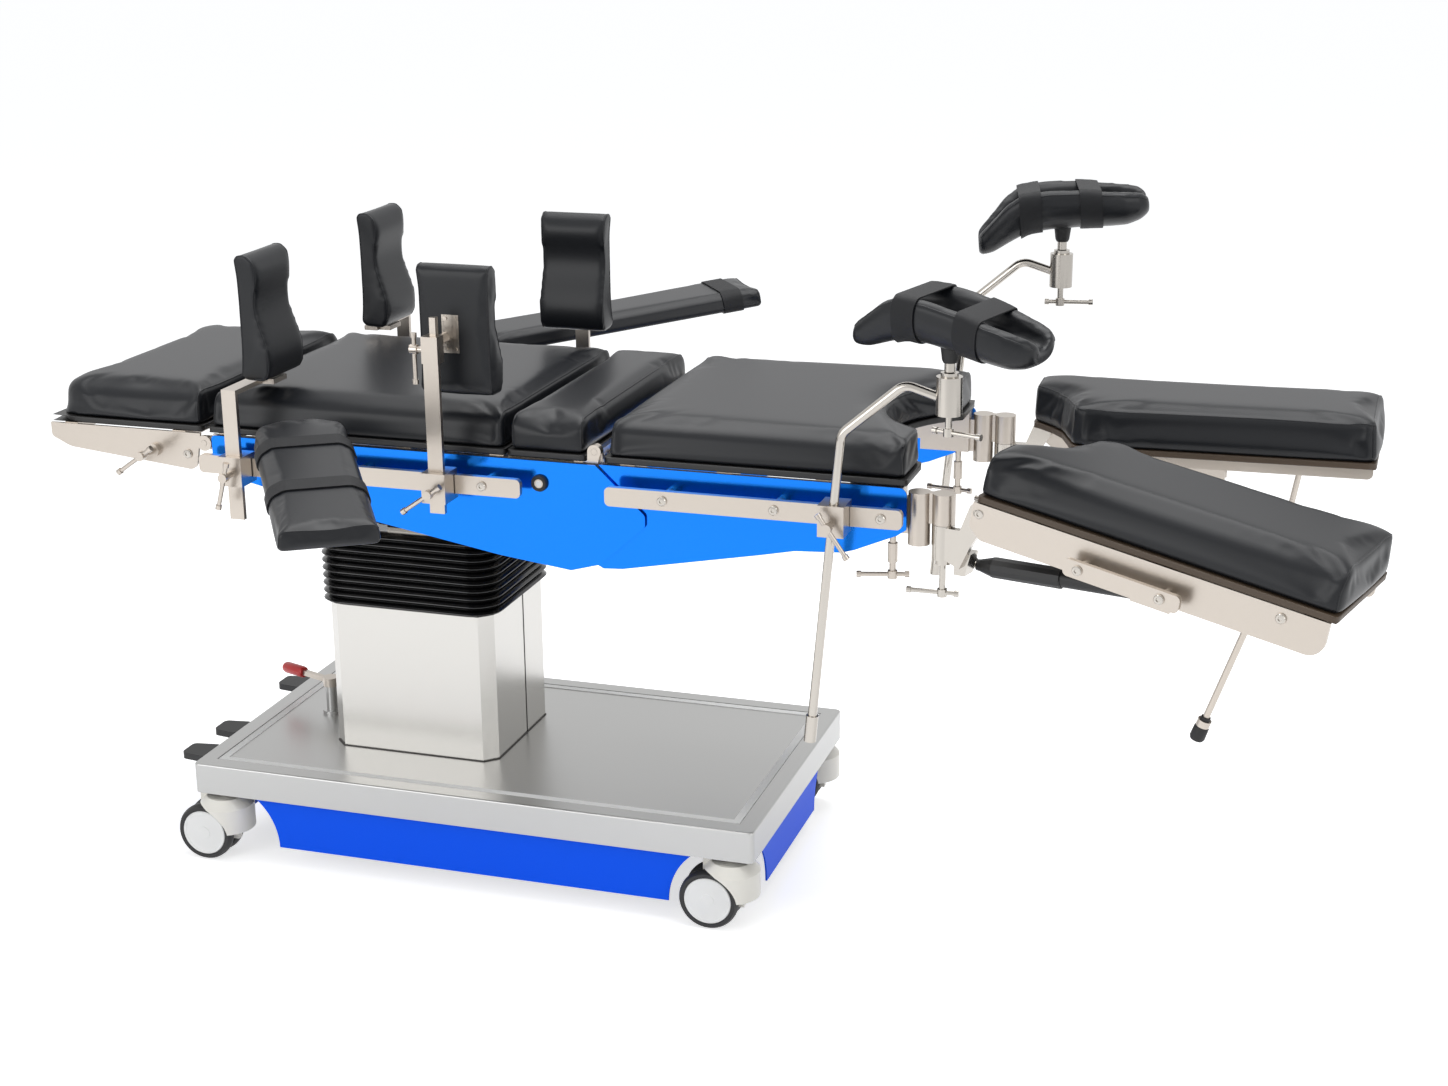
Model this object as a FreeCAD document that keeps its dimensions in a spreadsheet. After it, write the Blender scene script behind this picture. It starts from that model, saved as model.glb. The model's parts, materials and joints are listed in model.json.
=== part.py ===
import FreeCAD, Part
import math
import os
import re
import Sketcher

# Operating table: wheeled base, lifting column, sliding and tilting top in four padded sections,
# two swinging leg plates and clamped accessories. Millimetres, X towards the feet, Z up from the floor.

doc = FreeCAD.newDocument("operating_table")
sheet = doc.addObject("Spreadsheet::Sheet", "Sizes")

# Driving dimensions: name, value
SIZES = [
    # Base cover, chassis and skirts
    ("base_middle", -355), ("base_length", 1000), ("base_width", 554), ("base_edge", 53), ("base_wall", 3),
    ("base_corner", 10), ("base_soften", 3), ("base_rim", 30), ("base_sink", 1.5), ("tube_height", 50),
    ("tube_width", 50), ("tube_reach", 27.5), ("tube_clear", 26), ("deck_half", 38), ("deck_inset", 12),
    ("skirt_bottom", 34), ("skirt_wall", 3), ("skirt_inset", 15), ("skirt_arch", 110), ("skirt_arch_inset", 38),
    ("end_skirt_inset", 104), ("end_skirt_arch", 102),
    # Castors
    ("swivel_inset_x", 44), ("swivel_inset_y", 27), ("wheel_radius", 50), ("wheel_width", 21),
    ("wheel_gap", 14), ("wheel_dish", 11), ("wheel_hub", 14), ("hub_depth", 4), ("dish_depth", 1.5),
    ("castor_trail", 33), ("axle_radius", 6), ("hood_radius", 47), ("hood_over", 16), ("hood_gap", 9),
    ("hood_round", 15), ("hood_lip", 8), ("hood_clear", 4), ("stem_radius", 9), ("stem_grip", 25),
    ("web_play", 1.5), ("web_back", 22), ("web_front", 14),
    # Pedals
    ("pedal_inset", 35), ("pedal_drop", 15), ("pedal_reach", 76), ("pedal_lift", 50), ("pedal_width", 58),
    ("pedal_arm", 14), ("pedal_front", 22), ("pedal_back", 30), ("pedal_taper", 8), ("pedal_thick", 12),
    ("pedal_sole", 8), ("pedal_corner", 9), ("brake_pedal_y", 187), ("second_pedal_y", 76), ("steer_pedal_y", 160),
    ("pedal_slot", 26), ("slot_drop", 26), ("bearing_side", 24), ("bearing_far", 56), ("bearing_thick", 12),
    ("bearing_half", 10),
    # Brake lever on its post
    ("lever_inset", 120), ("lever_post_y", 9), ("lever_post_height", 52), ("post_radius", 10),
    ("flange_radius", 17), ("flange_thick", 6), ("collar_radius", 14), ("collar_height", 16),
    ("lever_length", 118), ("lever_thick", 9), ("lever_rise", 4), ("lever_turn", 160), ("grip_length", 46),
    ("grip_radius", 9), ("grip_overlap", 5),
    # Column, mast and bellows
    ("column_shift", -157), ("column_length", 303), ("column_width", 252), ("column_height", 259),
    ("column_corner", 21), ("column_wall", 3), ("mast_length", 120), ("mast_width", 150), ("mast_wall", 8),
    ("mast_drop", 18), ("mast_cap", 10), ("mast_play", 0.5), ("guide_wall", 12), ("guide_gap", 12),
    ("bellows_length", 326), ("bellows_width", 276), ("bellows_height", 135), ("bellows_folds", 9),
    ("bellows_fold", 13), ("bellows_corner", 34), ("bellows_play", 5),
    # Tilting head and carriage
    ("yoke_height", 58), ("mast_plate", 16), ("mast_plate_half", 42), ("mast_plate_over", 3),
    ("pivot_radius", 15), ("pivot_play", 0.3), ("yoke_inner", 72), ("yoke_thick", 20), ("yoke_round", 22),
    ("cross_half_x", 40), ("cross_half_z", 18), ("cross_gap", 6), ("ear_gap", 22), ("ear_thick", 18),
    ("ear_half", 25), ("carriage_rise", 58), ("carriage_thick", 10), ("carriage_half_x", 95),
    ("carriage_over", 2), ("shoe_height", 24), ("shoe_lip", 6), ("slide_inner", 119), ("slide_thick", 22),
    ("slide_play", 1), ("cut_margin", 9),
    # Top: heights over the carriage, lengths from the hinge between back and seat
    ("hip_shift", 241), ("frame_gap", 2), ("frame_height", 60), ("board_gap", 2), ("pad_thick", 69),
    ("top_half", 259), ("side_thick", 6), ("cover_gap", 6), ("cover_wall", 2), ("hip_rise", 19),
    ("bar_height", 15), ("bar_width", 24), ("lug_radius", 11), ("lug_back", 9), ("lug_slope", 4),
    ("lug_toe", 2), ("lug_foot", 38), ("pin_radius", 5), ("plate_play", 0.5), ("boss_over", 3), ("hole_play", 0.2),
    ("pad_corner", 22), ("pad_round", 14), ("pad_gap", 1.5),
    # Back section
    ("head_hinge", 677), ("head_hinge_drop", 15), ("back_end", 14), ("back_beam_clear", 14),
    ("back_beam_gap", 2), ("neck_length", 15), ("back_ear_reach", 46), ("back_spacer_1", 600),
    ("back_spacer_2", 390), ("back_spacer_3", 172), ("back_slide_clear", 18), ("back_bar_start", 655),
    ("back_bar_pitch", 159), ("hinge_bar_start", 36), ("hinge_bar_width", 15), ("back_pad_start", 673),
    ("kidney_start", 147.5), ("kidney_end", 14), ("cover_start", 661), ("cover_bend_x", 420),
    ("cover_bend_drop", 54), ("cover_belly_x", 160), ("cover_belly_rise", 15), ("cover_low_x", 40),
    ("cover_depth", 114), ("cover_heel_x", 10), ("cover_heel_rise", 14), ("nose_x", 84), ("nose_drop", 24),
    ("nose_half", 9), ("cover_hip_x", 4), ("cover_round", 6), ("cover_sweep", 14),
    ("crank_x", 88), ("crank_rise", 18), ("crank_radius", 11), ("crank_bore", 5), ("crank_depth", 6),
    # Kidney bridge
    ("bridge_thick", 9.5), ("bridge_post", 8), ("bridge_post_x", 81), ("bridge_post_y", 190),
    ("bridge_post_length", 148), ("bridge_edge", 1), ("bridge_back", 25), ("bridge_side", 3), ("bush_wall", 6),
    ("bracket_half", 19), ("bracket_rise", 2), ("bracket_thick", 8), ("bracket_over", 16),
    # Head section, lengths from its own hinge
    ("head_length", 286), ("head_plate", 5), ("head_pad_length", 290), ("head_pad_gap", 5), ("head_cut", 6),
    ("head_heel", 17), ("head_heel_drop", 2), ("head_taper_x", 252), ("head_taper_rise", 22),
    ("head_tip_rise", 38), ("head_edge", 1), ("head_screw_x", 31), ("head_bar_start", 36), ("head_bar_pitch", 202),
    ("lock_x", 92), ("lock_rise", 21), ("lock_depth", 8), ("lock_reach", 36), ("lock_turn", 215),
    # Seat section
    ("seat_pad_start", 14), ("seat_pad_end", 494), ("seat_beam_gap", 6), ("seat_beam_top", 20),
    ("seat_beam_low", 80), ("seat_spacer_1", 124), ("seat_spacer_2", 300), ("seat_spacer_3", 464),
    ("seat_ear", 7), ("seat_ear_reach", 66), ("seat_bar_start", 40), ("seat_bar_pitch", 156),
    ("cut_radius", 181), ("cut_depth", 81), ("seat_top_x", 8), ("seat_notch_x", 52), ("seat_notch_drop", 38),
    ("seat_heel_x", 6), ("seat_heel_drop", 98), ("seat_toe_x", 12), ("seat_depth", 108), ("seat_low_x", 44),
    ("seat_low_drop", 106), ("seat_belly_x", 269), ("seat_belly_drop", 63), ("seat_rise_x", 322),
    ("seat_rise_drop", 52), ("seat_step_x", 395), ("seat_step_drop", 48), ("seat_tail_x", 415),
    ("seat_tail_drop", 42), ("seat_cover_end", 494), ("seat_end_inset", 14), ("seat_end_step", 14),
    ("seat_end_drop", 4), ("seat_toe_round", 20), ("seat_rise_round", 30), ("seat_tail_round", 12),
    ("seat_lock_x", 469), ("seat_lock_y", 6), ("seat_lock_drop", 34), ("seat_lock_gap", 4),
    # Side rails
    ("rail_rise", 7), ("rail_gap", 24), ("rail_thick", 10), ("rail_height", 30), ("rail_round", 8),
    ("spacer_radius", 9), ("screw_radius", 8), ("screw_height", 2), ("back_rail_start", 667),
    ("back_rail_end", 108), ("seat_rail_start", 31), ("seat_rail_end", 496),
    # Leg knuckles
    ("knuckle_x", 510), ("swing_x", 547), ("swing_inset", 14), ("knuckle_radius", 17), ("knuckle_drop", 28),
    ("knuckle_rise", 53), ("swing_split", 6), ("swing_drop", 48), ("knuckle_arm_x", 405), ("knuckle_arm_over", 16),
    ("knuckle_lap", 16), ("tongue_low", 9), ("tongue_high", 7), ("tongue_drop", 10), ("web_half", 6),
    ("near_leg_out", 15.6), ("far_leg_out", 0), ("near_leg_dip", 9.3), ("far_leg_dip", -0.5),
    ("leg_hinge_x", 64), ("leg_hinge_z", 37), ("ear_plate", 12), ("drum_step", 5), ("drum_step_height", 8),
    ("leg_screw_reach", 46), ("spring_near_x", 30), ("spring_near_drop", 60), ("spring_lug", 9),
    ("spring_lug_rise", 26),
    # Leg plates, each in its own frame from its pitch hinge
    ("leg_length", 545), ("leg_back", 8), ("leg_plate", 6), ("leg_plate_height", 55), ("leg_side", 21),
    ("leg_top", 16), ("leg_heel_drop", 22), ("leg_heel_x", 12), ("leg_heel_round", 12), ("leg_toe_round", 26),
    ("leg_screw_x", 470), ("inner_plate_gap", 28), ("inner_plate_x", 70), ("inner_plate_drop", 6),
    ("leg_bar", 25), ("leg_bar_low", 4), ("leg_bar_x", 88), ("leg_bar_end", 48), ("leg_pad_width", 230),
    ("leg_pad_over", 2), ("leg_pad_end", 2), ("leg_pad_drop", 8), ("shoulder_x_1", 7), ("shoulder_y_1", 97),
    ("shoulder_x_2", 34), ("shoulder_y_2", 125), ("shoulder_x_3", 54), ("shoulder_y_3", 152),
    ("shoulder_x_4", 68), ("shoulder_y_4", 191), ("shoulder_x_5", 85), ("shoulder_y_5", 236),
    ("leg_rail_start", 158), ("leg_rail_length", 178), ("leg_rail_height", 26), ("leg_rail_low", 5),
    ("leg_rail_gap", 20), ("leg_rail_thick", 8), ("leg_rail_screw_1", 22), ("leg_rail_screw_2", 30),
    # Gas springs and release levers
    ("spring_far_x", 255), ("spring_far_drop", 52), ("spring_side", 32), ("spring_radius", 13),
    ("spring_tube", 160), ("spring_rod", 5), ("spring_rod_length", 165), ("spring_bore_play", 2),
    ("spring_bore_start", 16), ("piston_over", 1.5), ("piston_half", 6), ("eye_radius", 10), ("eye_half", 9),
    ("fork_gap", 2), ("fork_thick", 6), ("fork_back", 11), ("fork_reach", 50), ("fork_foot", 28),
    ("release_x", 424), ("release_drop", 22), ("release_length", 205), ("release_radius", 5),
    ("release_lean", 10), ("release_hub", 10), ("release_hub_out", 9), ("release_hub_in", 8),
    ("release_pin", 4), ("release_pin_reach", 4), ("tip_radius", 10), ("tip_length", 32), ("tip_lap", 6),
    # Clamp screws and clamps
    ("clamp_half", 20), ("clamp_depth", 33), ("clamp_over", 9), ("hook_gap", 0.5), ("hook_reach", 3),
    ("hook_lip", 4), ("clamp_screw_drop", 4), ("post_offset", 19), ("bar_wide", 25), ("bar_thick", 8),
    ("bar_play", 0.4), ("handle_radius", 3.5), ("handle_length", 72), ("knob_over", 1.5), ("knob_length", 7),
    ("knob_lap", 4), ("screw_shaft", 5), ("screw_reach", 20), ("screw_hub", 2.5), ("screw_hub_length", 12),
    # Shoulder and body supports
    ("shoulder_x", 591), ("shoulder_height", 142), ("shoulder_tail", 67), ("shoulder_pad_y", 215),
    ("shoulder_arm", 30), ("saddle_half", 22), ("saddle_back", 10), ("saddle_front", 34), ("stud_x", 14),
    ("stud_radius", 4), ("support_x", 238), ("support_pad_x", 221), ("support_height", 219),
    ("support_tail", 28), ("support_pad_y", 222), ("head_out", 14), ("head_in", 10), ("head_low", 8),
    ("head_high", 34), ("head_left", 12), ("head_right", 15), ("support_stud", 8), ("support_stud_rise", 22),
    ("washer_thick", 3), ("washer_left", 2), ("washer_right", 26), ("washer_low", 2), ("washer_high", 58),
    ("rivet_radius", 3), ("rivet_height", 2), ("rivet_inset", 6), ("knob_rise", 12), ("knob_reach", 16),
    ("prop_right", 8), ("prop_out", 12), ("prop_top", 62),
    ("contour_rise", 149), ("contour_width", 120), ("contour_height", 205), ("contour_deep", 48),
    ("contour_waist", 27), ("contour_chamfer", 6),
    # Arm boards
    ("arm_x", 473), ("near_arm_angle", 57), ("far_arm_angle", 36), ("near_arm_tilt", 7), ("far_arm_tilt", -6),
    ("near_arm_length", 450), ("far_arm_length", 566), ("arm_width", 152), ("arm_thick", 34), ("arm_rise", 72),
    ("arm_back", 6), ("arm_cut_x", 26), ("arm_cut_y", 46), ("arm_corner", 14), ("arm_round", 8),
    ("arm_stem", 8), ("arm_stem_gap", 14), ("arm_hub", 18), ("arm_hub_drop", 34), ("arm_bore_rise", 22),
    # Leg holders
    ("near_holder_x", 397), ("far_holder_x", 442), ("near_holder_rise", 0), ("far_holder_rise", 67),
    ("holder_offset", 4), ("holder_lean", 5.3), ("holder_radius", 7), ("holder_below", 355),
    ("holder_above", 132), ("holder_sleeve", 9.5), ("holder_sleeve_length", 42), ("holder_step_x", 85),
    ("holder_step_z", 88), ("holder_arm", 54), ("holder_arm_drop", 11), ("holder_bend", 26),
    ("socket_offset", 12), ("socket_drop", 6), ("socket_radius", 19), ("socket_height", 56),
    ("socket_bore", 8), ("socket_neck", 6), ("holder_screw_reach", 26), ("cradle_stem_gap", 6),
    ("cradle_rise", 44), ("cradle_cup_low", 11), ("cradle_cup_high", 15), ("cradle_cup", 26),
    ("cradle_cup_drop", 18), ("cradle_length", 285), ("cradle_width", 132), ("cradle_wall", 24),
    ("cradle_height", 72), ("cradle_tip", 22), ("cradle_tip_drop", 24), ("cradle_neck", 92),
    ("cradle_neck_rise", 4), ("cradle_lip", 8), ("cradle_lip_rise", 26), ("cradle_foot", 70),
    ("cradle_foot_drop", 4), ("cradle_heel_drop", 20), ("cradle_peak", 118), ("cradle_peak_near", 78),
    ("cradle_mouth", 6), ("cradle_mouth_rise", 28), ("cradle_soft", 14), ("cradle_bend", 40),
    ("cradle_hollow", 6), ("near_cradle_turn", -14), ("far_cradle_turn", 12), ("near_cradle_dip", 9),
    ("far_cradle_dip", -6),
]
for row, (name, value) in enumerate(SIZES, start=1):
    sheet.set(f"A{row}", name)
    sheet.set(f"B{row}", str(value))
    sheet.setAlias(f"B{row}", name)
NAMES = {name for name, value in SIZES}
doc.recompute()
nodes = []

NEAR, FAR = -1, 1
SIDES = ((NEAR, "near"), (FAR, "far"))
ENDS = (-1, 1)
X_TURN = "rotation(vector(0; 1; 0); 90)"
Y_TURN = "rotation(vector(1; 0; 0); -90)"
NO_TURN = "rotation(vector(0; 0; 1); 0)"
UPSIDE_DOWN = "rotation(vector(1; 0; 0); 180)"

# Heights that several pieces share, each built on the one below it
SKIRT_TOP = "(2 * wheel_radius + hood_over + hood_gap)"
BASE_TOP = f"({SKIRT_TOP} + base_edge)"
FLOOR = f"({BASE_TOP} - base_sink)"
COLUMN_TOP = f"({BASE_TOP} + column_height)"
BELLOWS_TOP = f"({COLUMN_TOP} + bellows_height)"
TILT = f"({BELLOWS_TOP} + yoke_height)"
DECK = f"({TILT} + carriage_rise + carriage_thick)"
TOP = f"({DECK} + frame_gap)"
FRAME_TOP = f"({TOP} + frame_height)"
BOARD = f"({FRAME_TOP} + board_gap)"
PAD_TOP = f"({BOARD} + pad_thick)"
HIP_Z = f"({FRAME_TOP} + hip_rise)"
HEAD_Z = f"({FRAME_TOP} - head_hinge_drop)"
RAIL = f"({TOP} + rail_rise)"
RAIL_TOP = f"({RAIL} + rail_height)"
RAIL_MID = f"({RAIL} + rail_height / 2)"
CONTOUR = f"({RAIL} + contour_rise)"
ARM_Z = f"({RAIL_TOP} + clamp_over + arm_rise)"

# Places along X and Y that several pieces share
COLUMN = "(base_middle + column_shift)"
HIP = "(base_middle + hip_shift)"
HEAD = f"({HIP} - head_hinge)"
BASE_X, BASE_Y = "base_length / 2", "base_width / 2"
SWIVEL_X, SWIVEL_Y = f"({BASE_X} - swivel_inset_x)", f"({BASE_Y} - swivel_inset_y)"
GUIDE_X = "(mast_length / 2 + mast_play + guide_wall)"
GUIDE_Y = "(mast_width / 2 + mast_play + guide_wall)"
YOKE_OUT = "(yoke_inner + yoke_thick)"
EAR_IN = "(cross_half_x + ear_gap)"
EAR_OUT = f"({EAR_IN} + ear_thick)"
SIDE_IN = "(top_half - side_thick)"
COVER = "(top_half + cover_gap + cover_wall)"
RAIL_IN = f"({COVER} + rail_gap)"
RAIL_OUT = f"({RAIL_IN} + rail_thick)"
POST = f"({RAIL_OUT} + post_offset)"
SWING_Y = "(top_half - swing_inset)"
KIDNEY_POST = f"({HIP} - bridge_post_x)"
TUBE_IN = f"({GUIDE_Y} + tube_reach)"
PEDAL_X = f"(base_middle - {BASE_X} + pedal_inset)"
PEDAL_Z = f"({SKIRT_TOP} - pedal_drop)"


def bound(text):
    """The expression with each size's name pointing at its cell."""
    def cell(match):
        word = match.group()
        return f"Sizes.{word}" if word in NAMES else word
    return re.sub(r"[a-z][a-z_0-9]*", cell, str(text))


def bind(item, field, text):
    item.setExpression(field, bound(text))


def worth(text):
    """The number that an expression gives now."""
    number = sheet.evalExpression(bound(text))
    return float(getattr(number, "Value", number))


def placed(item, x=0, y=0, z=0, turn=NO_TURN):
    bind(item, "Placement", f"placement(vector({x}; {y}; {z}); {turn})")
    return item


def about(x, y, z, turn=NO_TURN):
    return f"placement(vector({x}; {y}; {z}); {turn})"


def turn_z(angle):
    return f"rotation(vector(0; 0; 1); {angle})"


def across(side, inner, outer):
    """The two Y ends of a piece between two distances from the middle, on one side."""
    ends = (f"{side} * ({inner})", f"{side} * ({outer})")
    return ends if side > 0 else ends[::-1]


def about_middle(middle, half):
    return f"{middle} - ({half})", f"{middle} + ({half})"


def block(x, y, z):
    """A box from pairs of ends along each axis."""
    item = doc.addObject("Part::Box", "Block")
    for field, (low, high) in zip(("Length", "Width", "Height"), (x, y, z)):
        bind(item, field, f"({high}) - ({low})")
    return placed(item, x[0], y[0], z[0])


def rod(radius, length, x, y, z, turn=NO_TURN):
    """A cylinder from one end's centre."""
    item = doc.addObject("Part::Cylinder", "Rod")
    bind(item, "Radius", radius)
    bind(item, "Height", length)
    return placed(item, x, y, z, turn)


def rod_x(radius, x, y, z):
    return rod(radius, f"({x[1]}) - ({x[0]})", x[0], y, z, X_TURN)


def rod_y(radius, x, y, z):
    return rod(radius, f"({y[1]}) - ({y[0]})", x, y[0], z, Y_TURN)


def rod_z(radius, x, y, z):
    return rod(radius, f"({z[1]}) - ({z[0]})", x, y, z[0])


def cone(low, high, height, x, y, z):
    item = doc.addObject("Part::Cone", "Cone")
    bind(item, "Radius1", low)
    bind(item, "Radius2", high)
    bind(item, "Height", height)
    return placed(item, x, y, z)


def fused(*pieces):
    item = doc.addObject("Part::MultiFuse", "Fused")
    item.Shapes = list(pieces)
    return item


def less(base, *tools):
    item = doc.addObject("Part::Cut", "Less")
    item.Base = base
    item.Tool = tools[0] if len(tools) == 1 else fused(*tools)
    return item


def grouped(*pieces):
    """Several separate solids that make one sub-part, or one solid that is placed again."""
    item = doc.addObject("Part::Compound", "Group")
    item.Links = list(pieces)
    return item


def outline(plane, points):
    """A body with a closed sketch through points, and the points' present places."""
    body = doc.addObject("PartDesign::Body", "Plate")
    sketch = body.newObject("Sketcher::SketchObject", "Outline")
    support = [item for item in body.Origin.OriginFeatures if item.Role == plane][0]
    sketch.AttachmentSupport = [(support, "")]
    sketch.MapMode = "FlatFace"
    corners = [(worth(a), worth(b)) for a, b in points]
    count = len(points)
    for index, (a, b) in enumerate(corners):
        after = corners[(index + 1) % count]
        sketch.addGeometry(Part.LineSegment(FreeCAD.Vector(a, b, 0), FreeCAD.Vector(after[0], after[1], 0)))
    for index in range(count):
        sketch.addConstraint(Sketcher.Constraint("Coincident", index, 2, (index + 1) % count, 1))
    for index, ends in enumerate(points):
        for kind, text, value in zip(("DistanceX", "DistanceY"), ends, corners[index]):
            place = sketch.addConstraint(Sketcher.Constraint(kind, -1, 1, index, 1, value))
            bind(sketch, f"Constraints[{place}]", text)
    return body, sketch, corners


def plate(plane, points, thick, rounded=()):
    """An outline given a thickness; rounded lists (corner number, radius)."""
    body, sketch, corners = outline(plane, points)
    pad = body.newObject("PartDesign::Pad", "Thickness")
    pad.Profile = sketch
    bind(pad, "Length", thick)
    doc.recompute()
    tip = pad
    for index, radius in rounded:
        tip = round_corner(body, tip, plane, corners[index], radius)
    body.Tip = tip
    return body


def round_corner(body, tip, plane, corner, radius):
    """Rounds the edge that stands on one corner of the outline."""
    first, second, along = {"XY_Plane": (0, 1, 2), "XZ_Plane": (0, 2, 1)}[plane]
    names = []
    for number, edge in enumerate(tip.Shape.Edges, start=1):
        ends = [vertex.Point for vertex in edge.Vertexes]
        if len(ends) == 2 and abs(ends[0][along] - ends[1][along]) > 0.5:
            away = [abs(end[first] - corner[0]) + abs(end[second] - corner[1]) for end in ends]
            if max(away) < 0.01:
                names.append(f"Edge{number}")
    fillet = body.newObject("PartDesign::Fillet", "Round")
    fillet.Base = (tip, names)
    bind(fillet, "Radius", radius)
    doc.recompute()
    return fillet


def side_plate(side, inner, outer, points, rounded=()):
    """An upright plate in the XZ plane between two distances from the middle."""
    body = plate("XZ_Plane", points, f"({outer}) - ({inner})", rounded)
    return placed(body, 0, across(side, inner, outer)[1], 0)


def slab(points, z, rounded=()):
    """A flat plate from its plan."""
    return placed(plate("XY_Plane", points, f"({z[1]}) - ({z[0]})", rounded), 0, 0, z[0])


def soft_top(body, radius):
    """Rounds the upper edge of a body."""
    tip = body.Tip
    level = max(vertex.Z for vertex in tip.Shape.Vertexes)
    names = [f"Edge{number}" for number, edge in enumerate(tip.Shape.Edges, start=1)
             if all(abs(vertex.Z - level) < 0.01 for vertex in edge.Vertexes)]
    fillet = body.newObject("PartDesign::Fillet", "SoftEdge")
    fillet.Base = (tip, names)
    bind(fillet, "Radius", radius)
    body.Tip = fillet
    doc.recompute()
    return body


def cushion(x, y):
    """A rectangular cushion with its board."""
    corners = [(x[0], y[0]), (x[1], y[0]), (x[1], y[1]), (x[0], y[1])]
    body = slab(corners, (BOARD, PAD_TOP), [(index, "pad_corner") for index in range(4)])
    return soft_top(body, "pad_round")


def t_handle(x, y, z, turn, reach="screw_reach"):
    """A clamp screw along local Z with its tommy bar and two ball ends."""
    shaft = rod("screw_shaft", reach, 0, 0, 0)
    hub = rod("screw_shaft + screw_hub", "screw_hub_length", 0, 0, f"({reach}) - screw_hub_length / 2")
    bar = rod("handle_radius", "handle_length", "-0.3 * handle_length", 0, reach, X_TURN)
    knobs = [rod("handle_radius + knob_over", "knob_length", x_end, 0, reach, X_TURN)
             for x_end in ("-0.3 * handle_length - knob_lap", "0.7 * handle_length - knob_length + knob_lap")]
    return placed(fused(shaft, hub, bar, *knobs), x, y, z, turn)


def node(label, item):
    item.Label = label
    nodes.append(item)
    return item


def base_cover():
    """Steel cover with a sunk top and a hole for the mast guide, and the brake lever's post."""
    x0, x1 = about_middle("base_middle", BASE_X)
    corners = [(x0, f"-{BASE_Y}"), (x1, f"-{BASE_Y}"), (x1, BASE_Y), (x0, BASE_Y)]
    shell = slab(corners, (SKIRT_TOP, BASE_TOP), [(index, "base_corner") for index in range(4)])
    shell = soft_top(shell, "base_soften")
    inside = block(about_middle("base_middle", f"{BASE_X} - base_wall"), about_middle(0, f"{BASE_Y} - base_wall"),
                   (f"{SKIRT_TOP} - cut_margin", f"{FLOOR} - base_wall"))
    sunk = block(about_middle("base_middle", f"{BASE_X} - base_rim"), about_middle(0, f"{BASE_Y} - base_rim"),
                 (FLOOR, f"{BASE_TOP} + cut_margin"))
    mast_hole = block(about_middle(COLUMN, GUIDE_X), about_middle(0, GUIDE_Y), (SKIRT_TOP, f"{BASE_TOP} + cut_margin"))
    post_x = f"base_middle - {BASE_X} + lever_inset"
    flange = rod_z("flange_radius", post_x, "lever_post_y", (FLOOR, f"{FLOOR} + flange_thick"))
    post = rod_z("post_radius", post_x, "lever_post_y",
                 (f"{FLOOR} + flange_thick", f"{FLOOR} + lever_post_height"))
    node("base_cover", grouped(less(shell, inside, sunk, mast_hole), fused(flange, post)))


def base_chassis():
    """Guide walls for the mast, two long tubes, webs, castor decks and pedal bearings."""
    low = f"({SKIRT_TOP} - tube_height)"
    beam = (low, SKIRT_TOP)
    guide = (low, f"{COLUMN_TOP} - guide_gap")
    tube_in, tube_out = TUBE_IN, f"{TUBE_IN} + tube_width"
    pieces = []
    for end in ENDS:
        face = f"{COLUMN} + {end} * ({GUIDE_X} - guide_wall)"
        outer = f"{COLUMN} + {end} * {GUIDE_X}"
        wall_x = (face, outer) if end > 0 else (outer, face)
        pieces.append(block(wall_x, about_middle(0, GUIDE_Y), guide))
        for side in (NEAR, FAR):
            pieces.append(block(wall_x, across(side, GUIDE_Y, tube_in), beam))
            pieces.append(block(wall_x, across(side, tube_out, f"{BASE_Y} - skirt_inset - skirt_wall"), beam))
        deck_x = about_middle(f"(base_middle + {end} * {SWIVEL_X})", "deck_half")
        deck = block(deck_x, about_middle(0, f"{BASE_Y} - deck_inset"), (SKIRT_TOP, f"{FLOOR} - base_wall"))
        stems = [rod_z("stem_radius + pivot_play", f"base_middle + {end} * {SWIVEL_X}", f"{side} * {SWIVEL_Y}",
                       (f"{SKIRT_TOP} - cut_margin", BASE_TOP)) for side in (NEAR, FAR)]
        pieces.append(less(deck, *stems))
    for side in (NEAR, FAR):
        pieces.append(block(about_middle(COLUMN, f"{GUIDE_X} - guide_wall"),
                            across(side, f"{GUIDE_Y} - guide_wall", GUIDE_Y), guide))
        pieces.append(block(about_middle("base_middle", f"{SWIVEL_X} - tube_clear"), across(side, tube_in, tube_out), beam))
    for y in ("(bearing_far - brake_pedal_y)", "(bearing_side - second_pedal_y)",
              "(steer_pedal_y - bearing_side)", "(steer_pedal_y + bearing_side)"):
        bearing = block(about_middle(PEDAL_X, "bearing_half"), about_middle(y, "bearing_thick / 2"),
                        (f"{PEDAL_Z} - bearing_half", SKIRT_TOP))
        pieces.append(less(bearing, rod_y("pin_radius + pivot_play", PEDAL_X, about_middle(y, "bearing_thick"), PEDAL_Z)))
    node("base_chassis", grouped(*pieces))


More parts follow.
